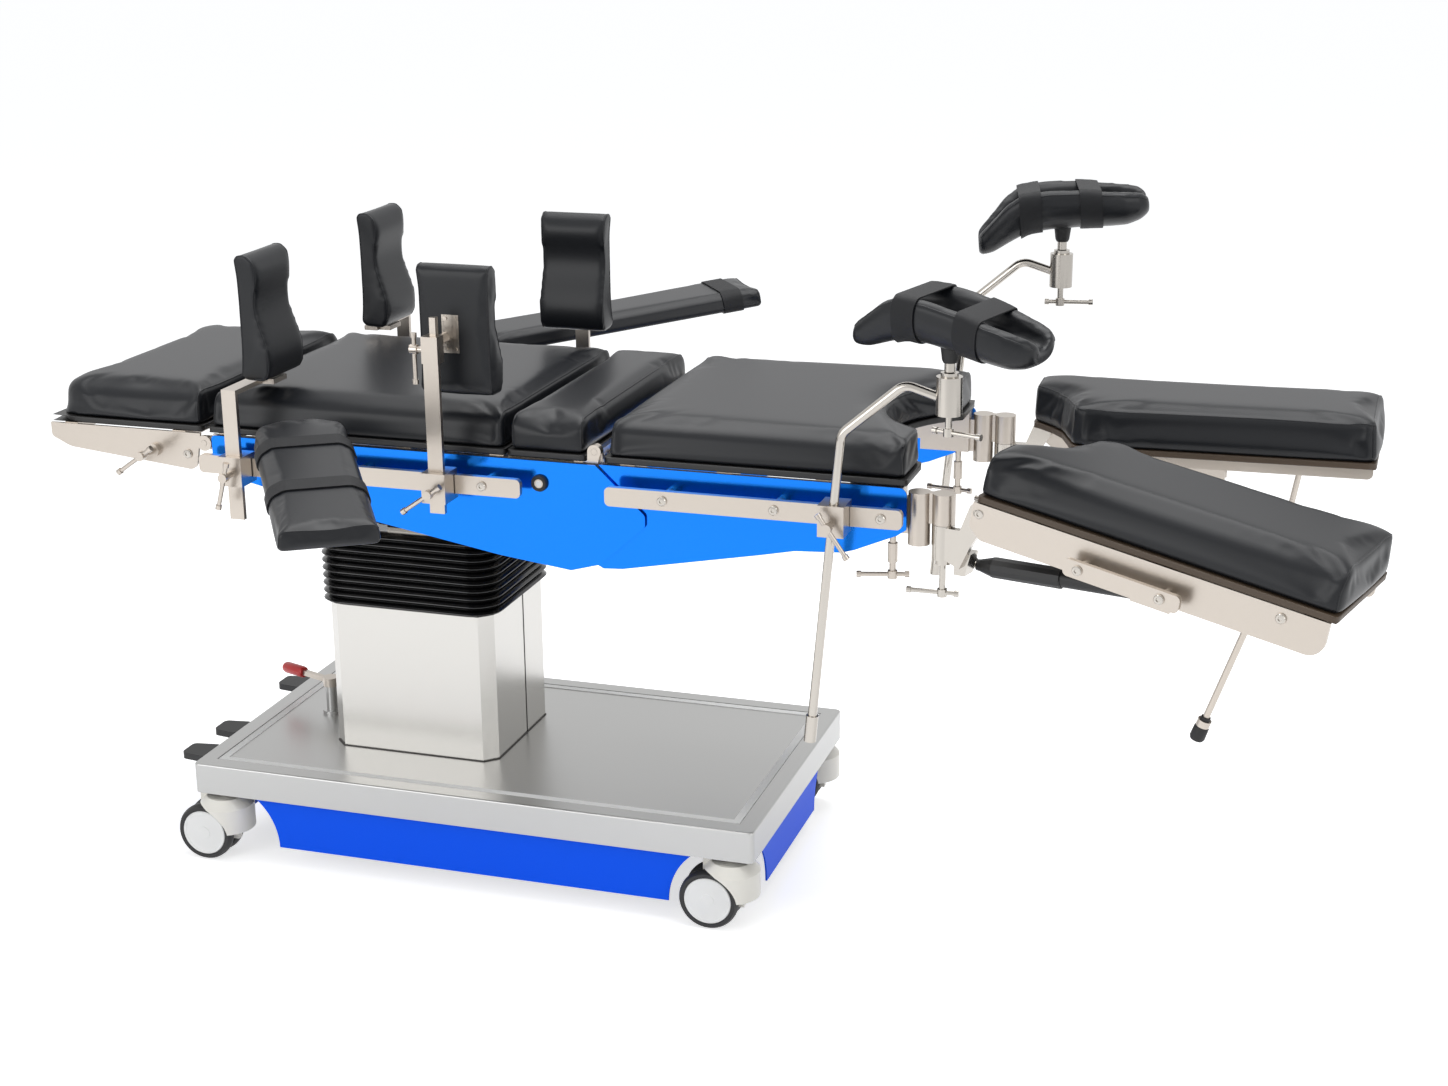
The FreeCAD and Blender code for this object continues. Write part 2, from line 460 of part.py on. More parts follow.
def base_skirts():
    """Side skirts between the castors and end skirts, the head one with slots for the pedals."""
    half_x = f"{BASE_X} - skirt_inset"
    outer = f"{BASE_Y} - skirt_inset"
    level = ("skirt_bottom", SKIRT_TOP)
    skirts = []
    for side in (NEAR, FAR):
        sheet_side = block(about_middle("base_middle", half_x), across(side, f"{outer} - skirt_wall", outer), level)
        arches = [rod_y("skirt_arch", f"base_middle + {end} * ({BASE_X} - skirt_arch_inset)",
                        across(side, f"{outer} - 2 * cut_margin", f"{outer} + cut_margin"), "skirt_bottom")
                  for end in ENDS]
        skirts.append(less(sheet_side, *arches))
    for end in ENDS:
        face = f"base_middle + {end} * ({half_x})"
        panel_x = (face, f"{face} + skirt_wall") if end < 0 else (f"{face} - skirt_wall", face)
        cuts = [rod_x("end_skirt_arch", about_middle(f"({face})", "cut_margin"), f"{side} * {SWIVEL_Y}", "skirt_bottom")
                for side in (NEAR, FAR)]
        if end < 0:
            cuts += [block(about_middle(f"({face})", "cut_margin"), about_middle(y, "pedal_slot / 2"),
                           (f"{PEDAL_Z} - slot_drop", f"{SKIRT_TOP} + cut_margin"))
                     for y in ("(-second_pedal_y)", "steer_pedal_y")]
        panel = block(panel_x, about_middle(0, f"{BASE_Y} - end_skirt_inset"), level)
        skirts.append(less(panel, *cuts))
    node("base_skirts", grouped(*skirts))


def castor(label, end, side):
    """A swivel hood on its stem and a pair of wheels on one axle, trailing towards the head."""
    swivel_x = f"(base_middle + {end} * {SWIVEL_X})"
    swivel_y = f"({side} * {SWIVEL_Y})"
    wheel_x = f"({swivel_x} - castor_trail)"
    hood_top = "(2 * wheel_radius + hood_over)"
    through = about_middle(swivel_y, "2 * hood_radius")
    drum = rod_z("hood_radius", swivel_x, swivel_y, ("wheel_radius + hood_lip", f"{hood_top} - hood_round"))
    dome = cone("hood_radius", "hood_radius - hood_round", "hood_round", swivel_x, swivel_y, f"{hood_top} - hood_round")
    clear = rod_y("wheel_radius + hood_clear", wheel_x, through, "wheel_radius")
    web = block((f"{wheel_x} - web_front", f"{swivel_x} + web_back"), about_middle(swivel_y, "wheel_gap / 2 - web_play"),
                ("wheel_radius - web_front", hood_top))
    stem = rod_z("stem_radius", swivel_x, swivel_y, (hood_top, f"{SKIRT_TOP} + stem_grip"))
    bore = rod_y("axle_radius + pivot_play", wheel_x, through, "wheel_radius")
    node(f"castor_fork_{label}", less(fused(less(fused(drum, dome), clear), web, stem), bore))
    outer = "(wheel_gap / 2 + wheel_width)"
    wheels = [rod_y("axle_radius", wheel_x, about_middle(swivel_y, outer), "wheel_radius")]
    for way in ENDS:
        def ring(radius, inner, far):
            low, high = across(way, inner, far)
            return rod_y(radius, wheel_x, (f"{swivel_y} + {low}", f"{swivel_y} + {high}"), "wheel_radius")
        rim = ring("wheel_radius", "wheel_gap / 2", outer)
        dish = ring("wheel_radius - wheel_dish", f"{outer} - dish_depth", f"{outer} + cut_margin")
        hub = ring("wheel_radius - wheel_hub", f"{outer} - hub_depth", f"{outer} - dish_depth")
        wheels.append(fused(less(rim, dish), hub))
    node(f"castor_wheel_{label}", fused(*wheels))


def pedal(y):
    """A pedal's arm, its riser and its foot plate."""
    tip = f"({PEDAL_X} - pedal_reach)"
    wide = about_middle(y, "pedal_arm / 2")
    low = f"{PEDAL_Z} - pedal_arm / 2"
    arm = block((f"{tip} + pedal_arm", PEDAL_X), wide, (low, f"{low} + pedal_arm"))
    rise = block((f"{tip} + pedal_arm", f"{tip} + 2 * pedal_arm"), wide, (low, f"{PEDAL_Z} + pedal_lift - pedal_sole / 2"))
    foot = slab([(f"{tip} - pedal_front", f"{y} - pedal_width / 2 + pedal_taper"), (f"{tip} + pedal_back", f"{y} - pedal_width / 2"),
                 (f"{tip} + pedal_back", f"{y} + pedal_width / 2"), (f"{tip} - pedal_front", f"{y} + pedal_width / 2 - pedal_taper")],
                (f"{PEDAL_Z} + pedal_lift - pedal_sole", f"{PEDAL_Z} + pedal_lift - pedal_sole + pedal_thick"),
                [(index, "pedal_corner") for index in range(4)])
    return [arm, rise, foot]


def pedals():
    """Brake pedal pair on one shaft and the steering pedal, at the head end."""
    end = "(bearing_side + bearing_thick / 2)"
    shaft = rod_y("pin_radius", PEDAL_X, ("-brake_pedal_y - pedal_arm / 2", f"-second_pedal_y + {end}"), PEDAL_Z)
    node("brake_pedals", fused(shaft, *pedal("(-brake_pedal_y)"), *pedal("(-second_pedal_y)")))
    shaft = rod_y("pin_radius", PEDAL_X, about_middle("steer_pedal_y", end), PEDAL_Z)
    node("steer_pedal", fused(shaft, *pedal("steer_pedal_y")))


def brake_lever():
    """The hand lever that turns on its post beside the column, with its grip."""
    low = f"({FLOOR} + lever_post_height)"
    arm_low = f"({low} + lever_rise)"
    collar = rod_z("collar_radius", 0, 0, (low, f"{low} + collar_height"))
    arm = block((0, "lever_length - grip_length + grip_overlap"), about_middle(0, "lever_thick / 2"),
                (arm_low, f"{arm_low} + lever_thick"))
    grip = rod_x("grip_radius", ("lever_length - grip_length", "lever_length"), 0, f"{arm_low} + lever_thick / 2")
    node("brake_lever", placed(fused(collar, arm, grip), f"base_middle - {BASE_X} + lever_inset", "lever_post_y", 0,
                               turn_z("lever_turn")))


def casing(length, width, z):
    """A solid with cropped corners round the column's middle."""
    x0, x1 = about_middle(COLUMN, f"{length} / 2")
    y0, y1 = about_middle(0, f"{width} / 2")
    crop = "column_corner"
    points = [(f"{x0} + {crop}", y0), (f"{x1} - {crop}", y0), (x1, f"{y0} + {crop}"), (x1, f"{y1} - {crop}"),
              (f"{x1} - {crop}", y1), (f"{x0} + {crop}", y1), (x0, f"{y1} - {crop}"), (x0, f"{y0} + {crop}")]
    return slab(points, z)


def column():
    """Folded steel casing, the lifting mast inside it and the bellows above."""
    outer = casing("column_length", "column_width", (FLOOR, COLUMN_TOP))
    inner = casing("(column_length - 2 * column_wall)", "(column_width - 2 * column_wall)",
                   (f"{FLOOR} - cut_margin", f"{COLUMN_TOP} + cut_margin"))
    node("column_cover", less(outer, inner))

    bottom = f"{BASE_TOP} - mast_drop"
    plate_top = f"{BELLOWS_TOP} + mast_plate"
    tube = block(about_middle(COLUMN, "mast_length / 2"), about_middle(0, "mast_width / 2"), (bottom, BELLOWS_TOP))
    core = block(about_middle(COLUMN, "mast_length / 2 - mast_wall"), about_middle(0, "mast_width / 2 - mast_wall"),
                 (f"{bottom} - cut_margin", f"{BELLOWS_TOP} - mast_cap"))
    head = block(about_middle(COLUMN, "mast_plate_half"), about_middle(0, f"{YOKE_OUT} + mast_plate_over"),
                 (BELLOWS_TOP, plate_top))
    yokes = []
    for side in (NEAR, FAR):
        ends = across(side, "yoke_inner", YOKE_OUT)
        yokes.append(block(about_middle(COLUMN, "yoke_round"), ends, (plate_top, TILT)))
        yokes.append(rod_y("yoke_round", COLUMN, ends, TILT))
    bore = rod_y("pivot_radius + pivot_play", COLUMN, about_middle(0, f"{YOKE_OUT} + cut_margin"), TILT)
    node("inner_column", less(fused(less(tube, core), head, *yokes), bore))
    node("bellows", bellows())


def bellows():
    """Folds lofted between wide and narrow rings, open inside for the mast."""
    s = {name: sheet.get(name) for name in NAMES}
    middle, low, high = worth(COLUMN), worth(COLUMN_TOP), worth(BELLOWS_TOP)
    steps = 2 * int(round(s["bellows_folds"]))

    def ring(step):
        shrink = 0 if step % 2 else s["bellows_fold"]
        x, y, c = s["bellows_length"] / 2 - shrink, s["bellows_width"] / 2 - shrink, s["bellows_corner"]
        z = low + (high - low) * step / steps
        points = [(x - c, -y), (x, c - y), (x, y - c), (x - c, y), (c - x, y), (-x, y - c), (-x, c - y), (c - x, -y)]
        points = [FreeCAD.Vector(middle + a, b, z) for a, b in points]
        return Part.makePolygon(points + points[:1])
    skin = Part.makeLoft([ring(step) for step in range(steps + 1)], True, True)
    half_x, half_y = s["mast_length"] / 2 + s["bellows_play"], s["mast_width"] / 2 + s["bellows_play"]
    hole = Part.makeBox(2 * half_x, 2 * half_y, high - low, FreeCAD.Vector(middle - half_x, -half_y, low))
    item = doc.addObject("Part::Feature", "Folds")
    item.Shape = skin.cut(hole)
    return item


def tilting_head():
    """The cross between mast and carriage, and the carriage with the shoes for the slides."""
    half = about_middle(TILT, "cross_half_z")
    middle = block(about_middle(COLUMN, "cross_half_x"), about_middle(0, "yoke_inner - cross_gap"), half)
    pins = [rod_y("pivot_radius", COLUMN, about_middle(0, YOKE_OUT), TILT),
            rod_x("pivot_radius", about_middle(COLUMN, EAR_OUT), 0, TILT)]
    node("gimbal_cross", fused(middle, *pins))

    lip = "slide_play + shoe_lip"
    slide_out = "(slide_inner + slide_thick)"
    table = block(about_middle(COLUMN, "carriage_half_x"), about_middle(0, f"{slide_out} + {lip} + carriage_over"),
                  (f"{DECK} - carriage_thick", DECK))
    ears, shoes = [], []
    for low, high in ((EAR_IN, EAR_OUT), (f"-{EAR_OUT}", f"-{EAR_IN}")):
        ears.append(block((f"{COLUMN} + {low}", f"{COLUMN} + {high}"), about_middle(0, "ear_half"),
                          (half[0], f"{DECK} - carriage_thick")))
    for side in (NEAR, FAR):
        for low, high in ((f"slide_inner - ({lip})", "slide_inner - slide_play"), (f"{slide_out} + slide_play", f"{slide_out} + {lip}")):
            shoes.append(block(about_middle(COLUMN, "carriage_half_x"), across(side, low, high), (DECK, f"{DECK} + shoe_height")))
    bore = rod_x("pivot_radius + pivot_play", about_middle(COLUMN, f"{EAR_OUT} + cut_margin"), 0, TILT)
    node("slide_carriage", less(fused(table, *ears, *shoes), bore))


def hinge_lug(side, inner, outer, way, reach):
    """A rounded hinge ear that stands clear of the cushions and widens into its side plate."""
    foot = f"{HIP_Z} - lug_foot"
    points = [(f"{HIP} + {way} * lug_radius", HIP_Z), (f"{HIP} - {way} * lug_back", f"{HIP_Z} - lug_slope"),
              (f"{HIP} - {way} * lug_toe", foot), (f"{HIP} + {way} * {reach}", foot),
              (f"{HIP} + {way} * {reach}", FRAME_TOP), (f"{HIP} + {way} * (lug_radius + plate_play)", FRAME_TOP)]
    return fused(side_plate(side, inner, outer, points), rod_y("lug_radius", HIP, across(side, inner, outer), HIP_Z))


def cross_bars(start, way, pitch, count, half):
    """Equal bars under the cushion boards, from one place along X."""
    level = (f"{BOARD} - bar_height", BOARD)
    bars = []
    for number in range(count):
        near = f"{start} + {way} * {number} * {pitch}"
        far = f"{near} + {way} * bar_width"
        bars.append(block((near, far) if way > 0 else (far, near), about_middle(0, half), level))
    return bars


def side_rail(side, start, end, spacers, seat):
    """An accessory rail on round spacers with screw heads outside."""
    bar = side_plate(side, RAIL_IN, RAIL_OUT, [(start, RAIL), (end, RAIL), (end, RAIL_TOP), (start, RAIL_TOP)],
                     [(index, "rail_round") for index in range(4)])
    posts = [rod_y("spacer_radius", x, across(side, seat, RAIL_IN), RAIL_MID) for x in spacers]
    heads = [rod_y("screw_radius", x, across(side, RAIL_OUT, f"{RAIL_OUT} + screw_height"), RAIL_MID) for x in spacers]
    return [fused(bar, *heads), *posts]


def cover_with_holes(cover, side, spacers, face):
    """A side cover with clearance holes for the rail spacers."""
    holes = [rod_y("spacer_radius + hole_play", x, across(side, f"{face} - cut_margin", f"{face} + cut_margin"), RAIL_MID)
             for x in spacers]
    return less(cover, *holes)


def back_section():
    """The main section: side plates, slides, cross bars, kidney bushes, covers, rails and cushion."""
    end = f"({HIP} - back_end)"
    cover_in = f"({COVER} - cover_wall)"
    spacers = [f"({HIP} - back_spacer_{number})" for number in (1, 2, 3)]
    shape = [(f"{HIP} - cover_start", FRAME_TOP), (f"{HIP} - cover_start", TOP),
             (f"{HIP} - cover_bend_x", f"{TOP} - cover_bend_drop"),
             (f"{HIP} - cover_belly_x", f"{TOP} - cover_depth + cover_belly_rise"),
             (f"{HIP} - cover_low_x", f"{TOP} - cover_depth"),
             (f"{HIP} + cover_heel_x", f"{TOP} - cover_depth + cover_heel_rise"),
             (f"{HIP} + nose_x", f"{TOP} - nose_drop - nose_half"), (f"{HIP} + nose_x", f"{TOP} - nose_drop + nose_half"),
             (f"{HIP} + cover_hip_x", FRAME_TOP)]
    rounds = [(0, "cover_round"), (1, "cover_sweep"), (6, "nose_half"), (7, "nose_half"), (8, "cover_round / 2")]
    frame, covers, rails = [], [], []
    for side in (NEAR, FAR):
        ends = across(side, SIDE_IN, "top_half")
        stand = across(side, "top_half", cover_in)
        beam = block((f"{HEAD} + back_beam_clear", f"{end} - back_beam_gap"), ends, (TOP, FRAME_TOP))
        lug = hinge_lug(side, SIDE_IN, "top_half", -1, "back_ear_reach")
        head_lug = rod_y("lug_radius", HEAD, ends, HEAD_Z)
        neck = block((HEAD, f"{HEAD} + neck_length"), ends, about_middle(HEAD_Z, "lug_radius"))
        pin = rod_y("pin_radius", HEAD, stand, HEAD_Z)
        bosses = [rod_y("spacer_radius + boss_over", x, stand, RAIL_MID) for x in spacers]
        hole = rod_y("pin_radius + pivot_play", HIP,
                     across(side, f"{SIDE_IN} - cut_margin", "top_half + cut_margin"), HIP_Z)
        frame.append(less(fused(beam, lug, head_lug, neck, pin, *bosses), hole))
        frame.append(block((f"{HEAD} + back_slide_clear", end), across(side, "slide_inner", "slide_inner + slide_thick"),
                           (DECK, f"{BOARD} - bar_height")))
        foot = f"{TOP} + bracket_rise"
        bracket = block(about_middle(KIDNEY_POST, "bracket_half"), across(side, "bridge_post_y - bracket_over", SIDE_IN),
                        (foot, f"{foot} + bracket_thick"))
        bush = rod_z("bridge_post + bush_wall", KIDNEY_POST, f"{side} * bridge_post_y", (foot, f"{FRAME_TOP} - bar_height"))
        bore = rod_z("bridge_post + pivot_play", KIDNEY_POST, f"{side} * bridge_post_y",
                     (f"{foot} - cut_margin", FRAME_TOP))
        frame.append(less(fused(bracket, bush), bore))
        cover = side_plate(side, cover_in, COVER, shape, rounds)
        covers.append(cover_with_holes(cover, side, spacers, COVER))
        rails += side_rail(side, f"{HIP} - back_rail_start", f"{HIP} - back_rail_end", spacers, cover_in)
    frame += cross_bars(f"{HIP} - back_bar_start", 1, "back_bar_pitch", 4, SIDE_IN)
    frame.append(block((f"{HIP} - hinge_bar_start", f"{HIP} - hinge_bar_start + hinge_bar_width"),
                       about_middle(0, SIDE_IN), (f"{BOARD} - bar_height", BOARD)))
    crank_x, crank_z = f"{HIP} - crank_x", f"{RAIL} + crank_rise"
    socket = less(rod_y("crank_radius", crank_x, across(NEAR, COVER, f"{COVER} + crank_depth"), crank_z),
                  rod_y("crank_bore", crank_x, across(NEAR, f"{COVER} + crank_depth / 3", f"{COVER} + cut_margin"), crank_z))
    node("back_frame", grouped(*frame))
    node("back_side_covers", grouped(*covers))
    node("back_rails", grouped(*rails, socket))
    node("back_pad", cushion((f"{HIP} - back_pad_start", f"{HIP} - kidney_start - pad_gap"), about_middle(0, "top_half")))


def kidney_section():
    """The bridge that lifts the cushion between back and seat on two posts."""
    low = f"{BOARD} - bridge_thick"
    table = block((f"{HIP} - kidney_start + bridge_edge", f"{HIP} - kidney_end - bridge_back"),
                  about_middle(0, f"{SIDE_IN} - bridge_side"), (low, BOARD))
    posts = [rod_z("bridge_post", KIDNEY_POST, f"{side} * bridge_post_y", (f"{low} - bridge_post_length", low))
             for side in (NEAR, FAR)]
    node("kidney_bridge", fused(table, *posts))
    node("kidney_pad", cushion((f"{HIP} - kidney_start", f"{HIP} - kidney_end"), about_middle(0, "top_half")))


def head_section():
    """Two tapered side plates with their cross bars, the locking handle and the cushion."""
    inner = "(top_half + plate_play)"
    outer = f"({inner} + head_plate)"
    top = f"{FRAME_TOP} + head_edge"
    shape = [(f"{HEAD} - head_cut", top), (f"{HEAD} - head_heel", f"{TOP} - head_heel_drop"),
             (f"{HEAD} - head_taper_x", f"{TOP} + head_taper_rise"), (f"{HEAD} - head_length", f"{TOP} + head_tip_rise"),
             (f"{HEAD} - head_length", top)]
    pieces = []
    for side in (NEAR, FAR):
        arm = side_plate(side, inner, outer, shape, [(1, "cover_sweep"), (2, "3 * cover_sweep"), (3, "nose_half")])
        eye = rod_y("lug_radius + screw_height", HEAD, across(side, inner, outer), HEAD_Z)
        hole = rod_y("pin_radius + pivot_play", HEAD, across(side, "top_half", f"{outer} + cut_margin"), HEAD_Z)
        screw = rod_y("screw_radius", f"{HEAD} - head_screw_x", across(side, outer, f"{outer} + screw_height"),
                      f"{RAIL} + crank_rise")
        pieces.append(fused(less(fused(arm, eye), hole), screw))
    pieces += cross_bars(f"{HEAD} - head_bar_start", -1, "head_bar_pitch", 2, inner)
    lock_x, lock_z = f"{HEAD} - lock_x", f"{RAIL} + lock_rise"
    collar = rod_y("crank_radius", lock_x, across(NEAR, outer, f"{outer} + lock_depth"), lock_z)
    turn = f"rotation(vector(1; 0; 0); 90) * {turn_z('lock_turn')}"
    handle = t_handle(lock_x, f"-({outer} + lock_depth)", lock_z, turn, "lock_reach")
    node("head_frame", grouped(*pieces, fused(collar, handle)))
    node("head_pad", cushion((f"{HEAD} - head_pad_length", f"{HEAD} - head_pad_gap"), about_middle(0, "top_half")))


def seat_section():
    """Seat frame with hinge ears and leg knuckles, its covers, rails, cushion and lock handles."""
    inner = f"({SIDE_IN} - plate_play)"
    cover_in = "(top_half + plate_play)"
    cover_out = f"({cover_in} + cover_wall)"
    ear_in = f"({SIDE_IN} - seat_ear)"
    end = f"({HIP} + seat_pad_end - seat_beam_gap)"
    swing = f"{HIP} + swing_x"
    knuckle = f"{HIP} + knuckle_x"
    low, high = f"{TOP} - knuckle_drop", f"{TOP} + knuckle_rise"
    split = f"{TOP} + swing_split"
    spacers = [f"({HIP} + seat_spacer_{number})" for number in (1, 2, 3)]
    beam_shape = [(f"{HIP} + seat_beam_top", FRAME_TOP), (f"{HIP} + seat_beam_low", TOP), (end, TOP), (end, FRAME_TOP)]
    shape = [(f"{HIP} + seat_top_x", FRAME_TOP), (f"{HIP} + seat_notch_x", TOP),
             (f"{HIP} + seat_notch_x", f"{TOP} - seat_notch_drop"), (f"{HIP} - seat_heel_x", f"{TOP} - seat_heel_drop"),
             (f"{HIP} + seat_toe_x", f"{TOP} - seat_depth"), (f"{HIP} + seat_low_x", f"{TOP} - seat_low_drop"),
             (f"{HIP} + seat_belly_x", f"{TOP} - seat_belly_drop"), (f"{HIP} + seat_rise_x", f"{TOP} - seat_rise_drop"),
             (f"{HIP} + seat_step_x", f"{TOP} - seat_step_drop"), (f"{HIP} + seat_tail_x", f"{TOP} - seat_tail_drop"),
             (f"{HIP} + seat_cover_end - seat_end_inset", f"{TOP} - seat_end_step"),
             (f"{HIP} + seat_cover_end", f"{TOP} - seat_end_drop"), (f"{HIP} + seat_cover_end", FRAME_TOP)]
    rounds = [(5, "seat_toe_round"), (7, "seat_rise_round"), (9, "seat_tail_round"), (10, "cover_round"),
              (12, "seat_tail_round")]
    frame, covers, rails, handles = [], [], [], []
    for side, name in SIDES:
        swing_y = f"{side} * {SWING_Y}"
        beam = side_plate(side, inner, "top_half", beam_shape)
        ear = hinge_lug(side, ear_in, inner, 1, "seat_ear_reach")
        pin = rod_y("pin_radius", HIP, across(side, ear_in, "top_half"), HIP_Z)
        bosses = [rod_y("spacer_radius + boss_over", x, across(side, "top_half", cover_in), RAIL_MID) for x in spacers]
        arm = block((f"{HIP} + knuckle_arm_x", end), across(side, f"{SWING_Y} - knuckle_arm_over", inner),
                    (f"{low} + knuckle_lap", FRAME_TOP))
        post = rod_z("knuckle_radius", knuckle, swing_y, (low, high))
        tongue = block((f"{end} - back_beam_gap", knuckle), across(side, f"{SWING_Y} - tongue_low", f"{SWING_Y} + tongue_high"),
                       (f"{low} + knuckle_lap", f"{high} - tongue_drop"))
        web = block((knuckle, swing), across(side, f"{SWING_Y} - web_half", f"{SWING_Y} + web_half"), (split, high))
        cap = rod_z("knuckle_radius + plate_play", swing, swing_y, (split, high))
        frame.append(fused(beam, ear, pin, *bosses, arm, post, tongue, web, cap))
        cover = side_plate(side, cover_in, cover_out, shape, rounds)
        covers.append(cover_with_holes(cover, side, spacers, cover_in))
        rails += side_rail(side, f"{HIP} + seat_rail_start", f"{HIP} + seat_rail_end", spacers, cover_in)
        lock_x, lock_y, lock_z = f"{HIP} + seat_lock_x", f"{side} * ({SWING_Y} - seat_lock_y)", f"{low} - seat_lock_drop"
        sleeve = rod_z("screw_shaft + screw_hub", lock_x, lock_y, (lock_z, f"{low} - seat_lock_gap"))
        shaft = rod_z("screw_shaft", lock_x, lock_y, (lock_z, f"{low} + knuckle_lap"))
        turn = f"{UPSIDE_DOWN} * {turn_z({'near': 165, 'far': 190}[name])}"
        handles.append(fused(sleeve, shaft, t_handle(lock_x, lock_y, lock_z, turn)))
    frame += cross_bars(f"{HIP} + seat_bar_start", 1, "seat_bar_pitch", 3, inner)
    node("seat_frame", grouped(*frame))
    node("seat_side_covers", grouped(*covers))
    node("seat_rails", grouped(*rails))
    node("seat_lock_handles", grouped(*handles))
    pad = cushion((f"{HIP} + seat_pad_start", f"{HIP} + seat_pad_end"), about_middle(0, "top_half"))
    cut = rod_z("cut_radius", f"{HIP} + seat_pad_end - cut_depth + cut_radius", 0,
                (f"{BOARD} - cut_margin", f"{PAD_TOP} + cut_margin"))
    node("seat_pad", less(pad, cut))


def leg_knuckle(side, name, swing):
    """The swinging drum with its arm to the pitch hinge, its spring lug and its clamp screw."""
    bottom, split = f"({TOP} - swing_drop)", f"({TOP} + swing_split)"
    hinge_z = f"({TOP} + leg_hinge_z)"
    inner, outer = "leg_side - leg_plate - ear_plate", "leg_side - leg_plate - plate_play"
    drum = rod_z("knuckle_radius + plate_play", 0, 0, (bottom, f"{split} - plate_play"))
    step = rod_z("knuckle_radius - drum_step", 0, 0, (f"{bottom} - drum_step_height", bottom))
    arm_x, toe_x = "web_half", "spring_near_x + lug_slope"
    arm = side_plate(side, inner, outer,
                     [(arm_x, f"{bottom} + lug_slope"), (toe_x, f"{bottom} - drum_step_height"),
                      ("leg_hinge_x - leg_heel_x", f"{bottom} + rail_height"),
                      ("leg_hinge_x + leg_heel_x", f"{hinge_z} - leg_top"),
                      ("leg_hinge_x + leg_heel_x", f"{hinge_z} + leg_heel_x"),
                      ("leg_hinge_x - leg_heel_x", f"{hinge_z} + leg_heel_x"), (toe_x, f"{split} - lug_toe"),
                      (arm_x, f"{split} - lug_toe")],
                     [(4, "lug_back"), (5, "lug_back")])
    lug_z = f"({TOP} - spring_near_drop)"
    lug = side_plate(side, "-spring_side + eye_radius", "leg_side - leg_plate - eye_radius",
                     [("spring_near_x - spring_lug", f"{lug_z} + spring_lug_rise"), ("spring_near_x - spring_lug", f"{lug_z} - spring_lug"),
                      ("spring_near_x + spring_lug", f"{lug_z} - spring_lug"),
                      ("spring_near_x + 2 * spring_lug", f"{lug_z} + spring_lug_rise")])
    pin = rod_y("pin_radius", "leg_hinge_x", across(side, inner, "leg_side - plate_play"), hinge_z)
    turn = f"{UPSIDE_DOWN} * {turn_z({'near': 165, 'far': 200}[name])}"
    screw = t_handle(0, 0, f"{bottom} - drum_step_height", turn, "leg_screw_reach")
    knuckle = fused(fused(drum, step, screw), fused(arm, lug, pin))
    bind(knuckle, "Placement", swing)
    node(f"leg_knuckle_{name}", knuckle)


def leg_frame(side, name, pitch):
    """Outer side plate, inner plate, cross bars, spring fork and accessory rail of one leg."""
    inner = "leg_side - leg_plate"
    bottom, start, end = "leg_top - leg_plate_height", "-leg_back", "leg_length - leg_back"
    arm = side_plate(side, inner, "leg_side",
                     [(start, "leg_top"), (start, "-leg_heel_drop"), ("leg_heel_x", bottom), (end, bottom), (end, "leg_top")],
                     [(1, "nose_half"), (2, "leg_heel_round"), (3, "leg_toe_round")])
    hole = rod_y("pin_radius + pivot_play", 0, across(side, f"{inner} - cut_margin", "leg_side + cut_margin"), 0)
    screw = rod_y("screw_radius", "leg_screw_x", across(side, "leg_side", "leg_side + screw_height"), 0)
    release_pin = rod_y("release_pin", "release_x", across(side, "-release_pin_reach", inner), "-release_drop")
    medial = "(leg_side - leg_pad_width + inner_plate_gap)"
    medial_in = f"{medial} + leg_plate"
    inner_arm = side_plate(side, medial, medial_in,
                           [("inner_plate_x", "leg_top"), ("inner_plate_x", "-inner_plate_drop"), (end, "-inner_plate_drop"),
                            (end, "leg_top")], [(2, "nose_half")])
    bars = [block((low, f"{low} + leg_bar"), across(side, medial_in, inner), ("leg_bar_low", "leg_top"))
            for low in ("leg_bar_x", "spring_far_x + fork_foot", "leg_length - leg_bar_end")]
    near_face, far_face = "-spring_side - spring_radius - fork_gap", "-spring_side + spring_radius + fork_gap"
    fork = [block(("spring_far_x - fork_back", "spring_far_x + fork_reach"), across(side, low, high),
                  ("-spring_far_drop - fork_back", "leg_bar_low"))
            for low, high in ((f"{near_face} - fork_thick", near_face), (far_face, f"{far_face} + fork_thick"))]
    fork.append(rod_y("pin_radius", "spring_far_x",
                      across(side, f"{near_face} - fork_thick", f"{far_face} + fork_thick"), "-spring_far_drop"))
    low = f"({bottom} + leg_rail_low)"
    rail_end = "leg_rail_start + leg_rail_length"
    rail_in, rail_out = "leg_side + leg_rail_gap", "leg_side + leg_rail_gap + leg_rail_thick"
    rail_mid, rail_high = f"{low} + leg_rail_height / 2", f"{low} + leg_rail_height"
    rail = side_plate(side, rail_in, rail_out,
                      [("leg_rail_start", low), (rail_end, low), (rail_end, rail_high), ("leg_rail_start", rail_high)],
                      [(index, "rail_round") for index in range(4)])
    screws = ("leg_rail_start + leg_rail_screw_1", f"{rail_end} - leg_rail_screw_2")
    spacers = [rod_y("spacer_radius - screw_height", x, across(side, "leg_side", rail_in), rail_mid) for x in screws]
    heads = [rod_y("screw_radius", x, across(side, rail_out, f"{rail_out} + screw_height"), rail_mid) for x in screws]
    frame = grouped(fused(less(arm, hole), screw, release_pin), inner_arm, *bars, fused(*fork), *spacers, fused(rail, *heads))
    bind(frame, "Placement", pitch)
    node(f"leg_frame_{name}", frame)


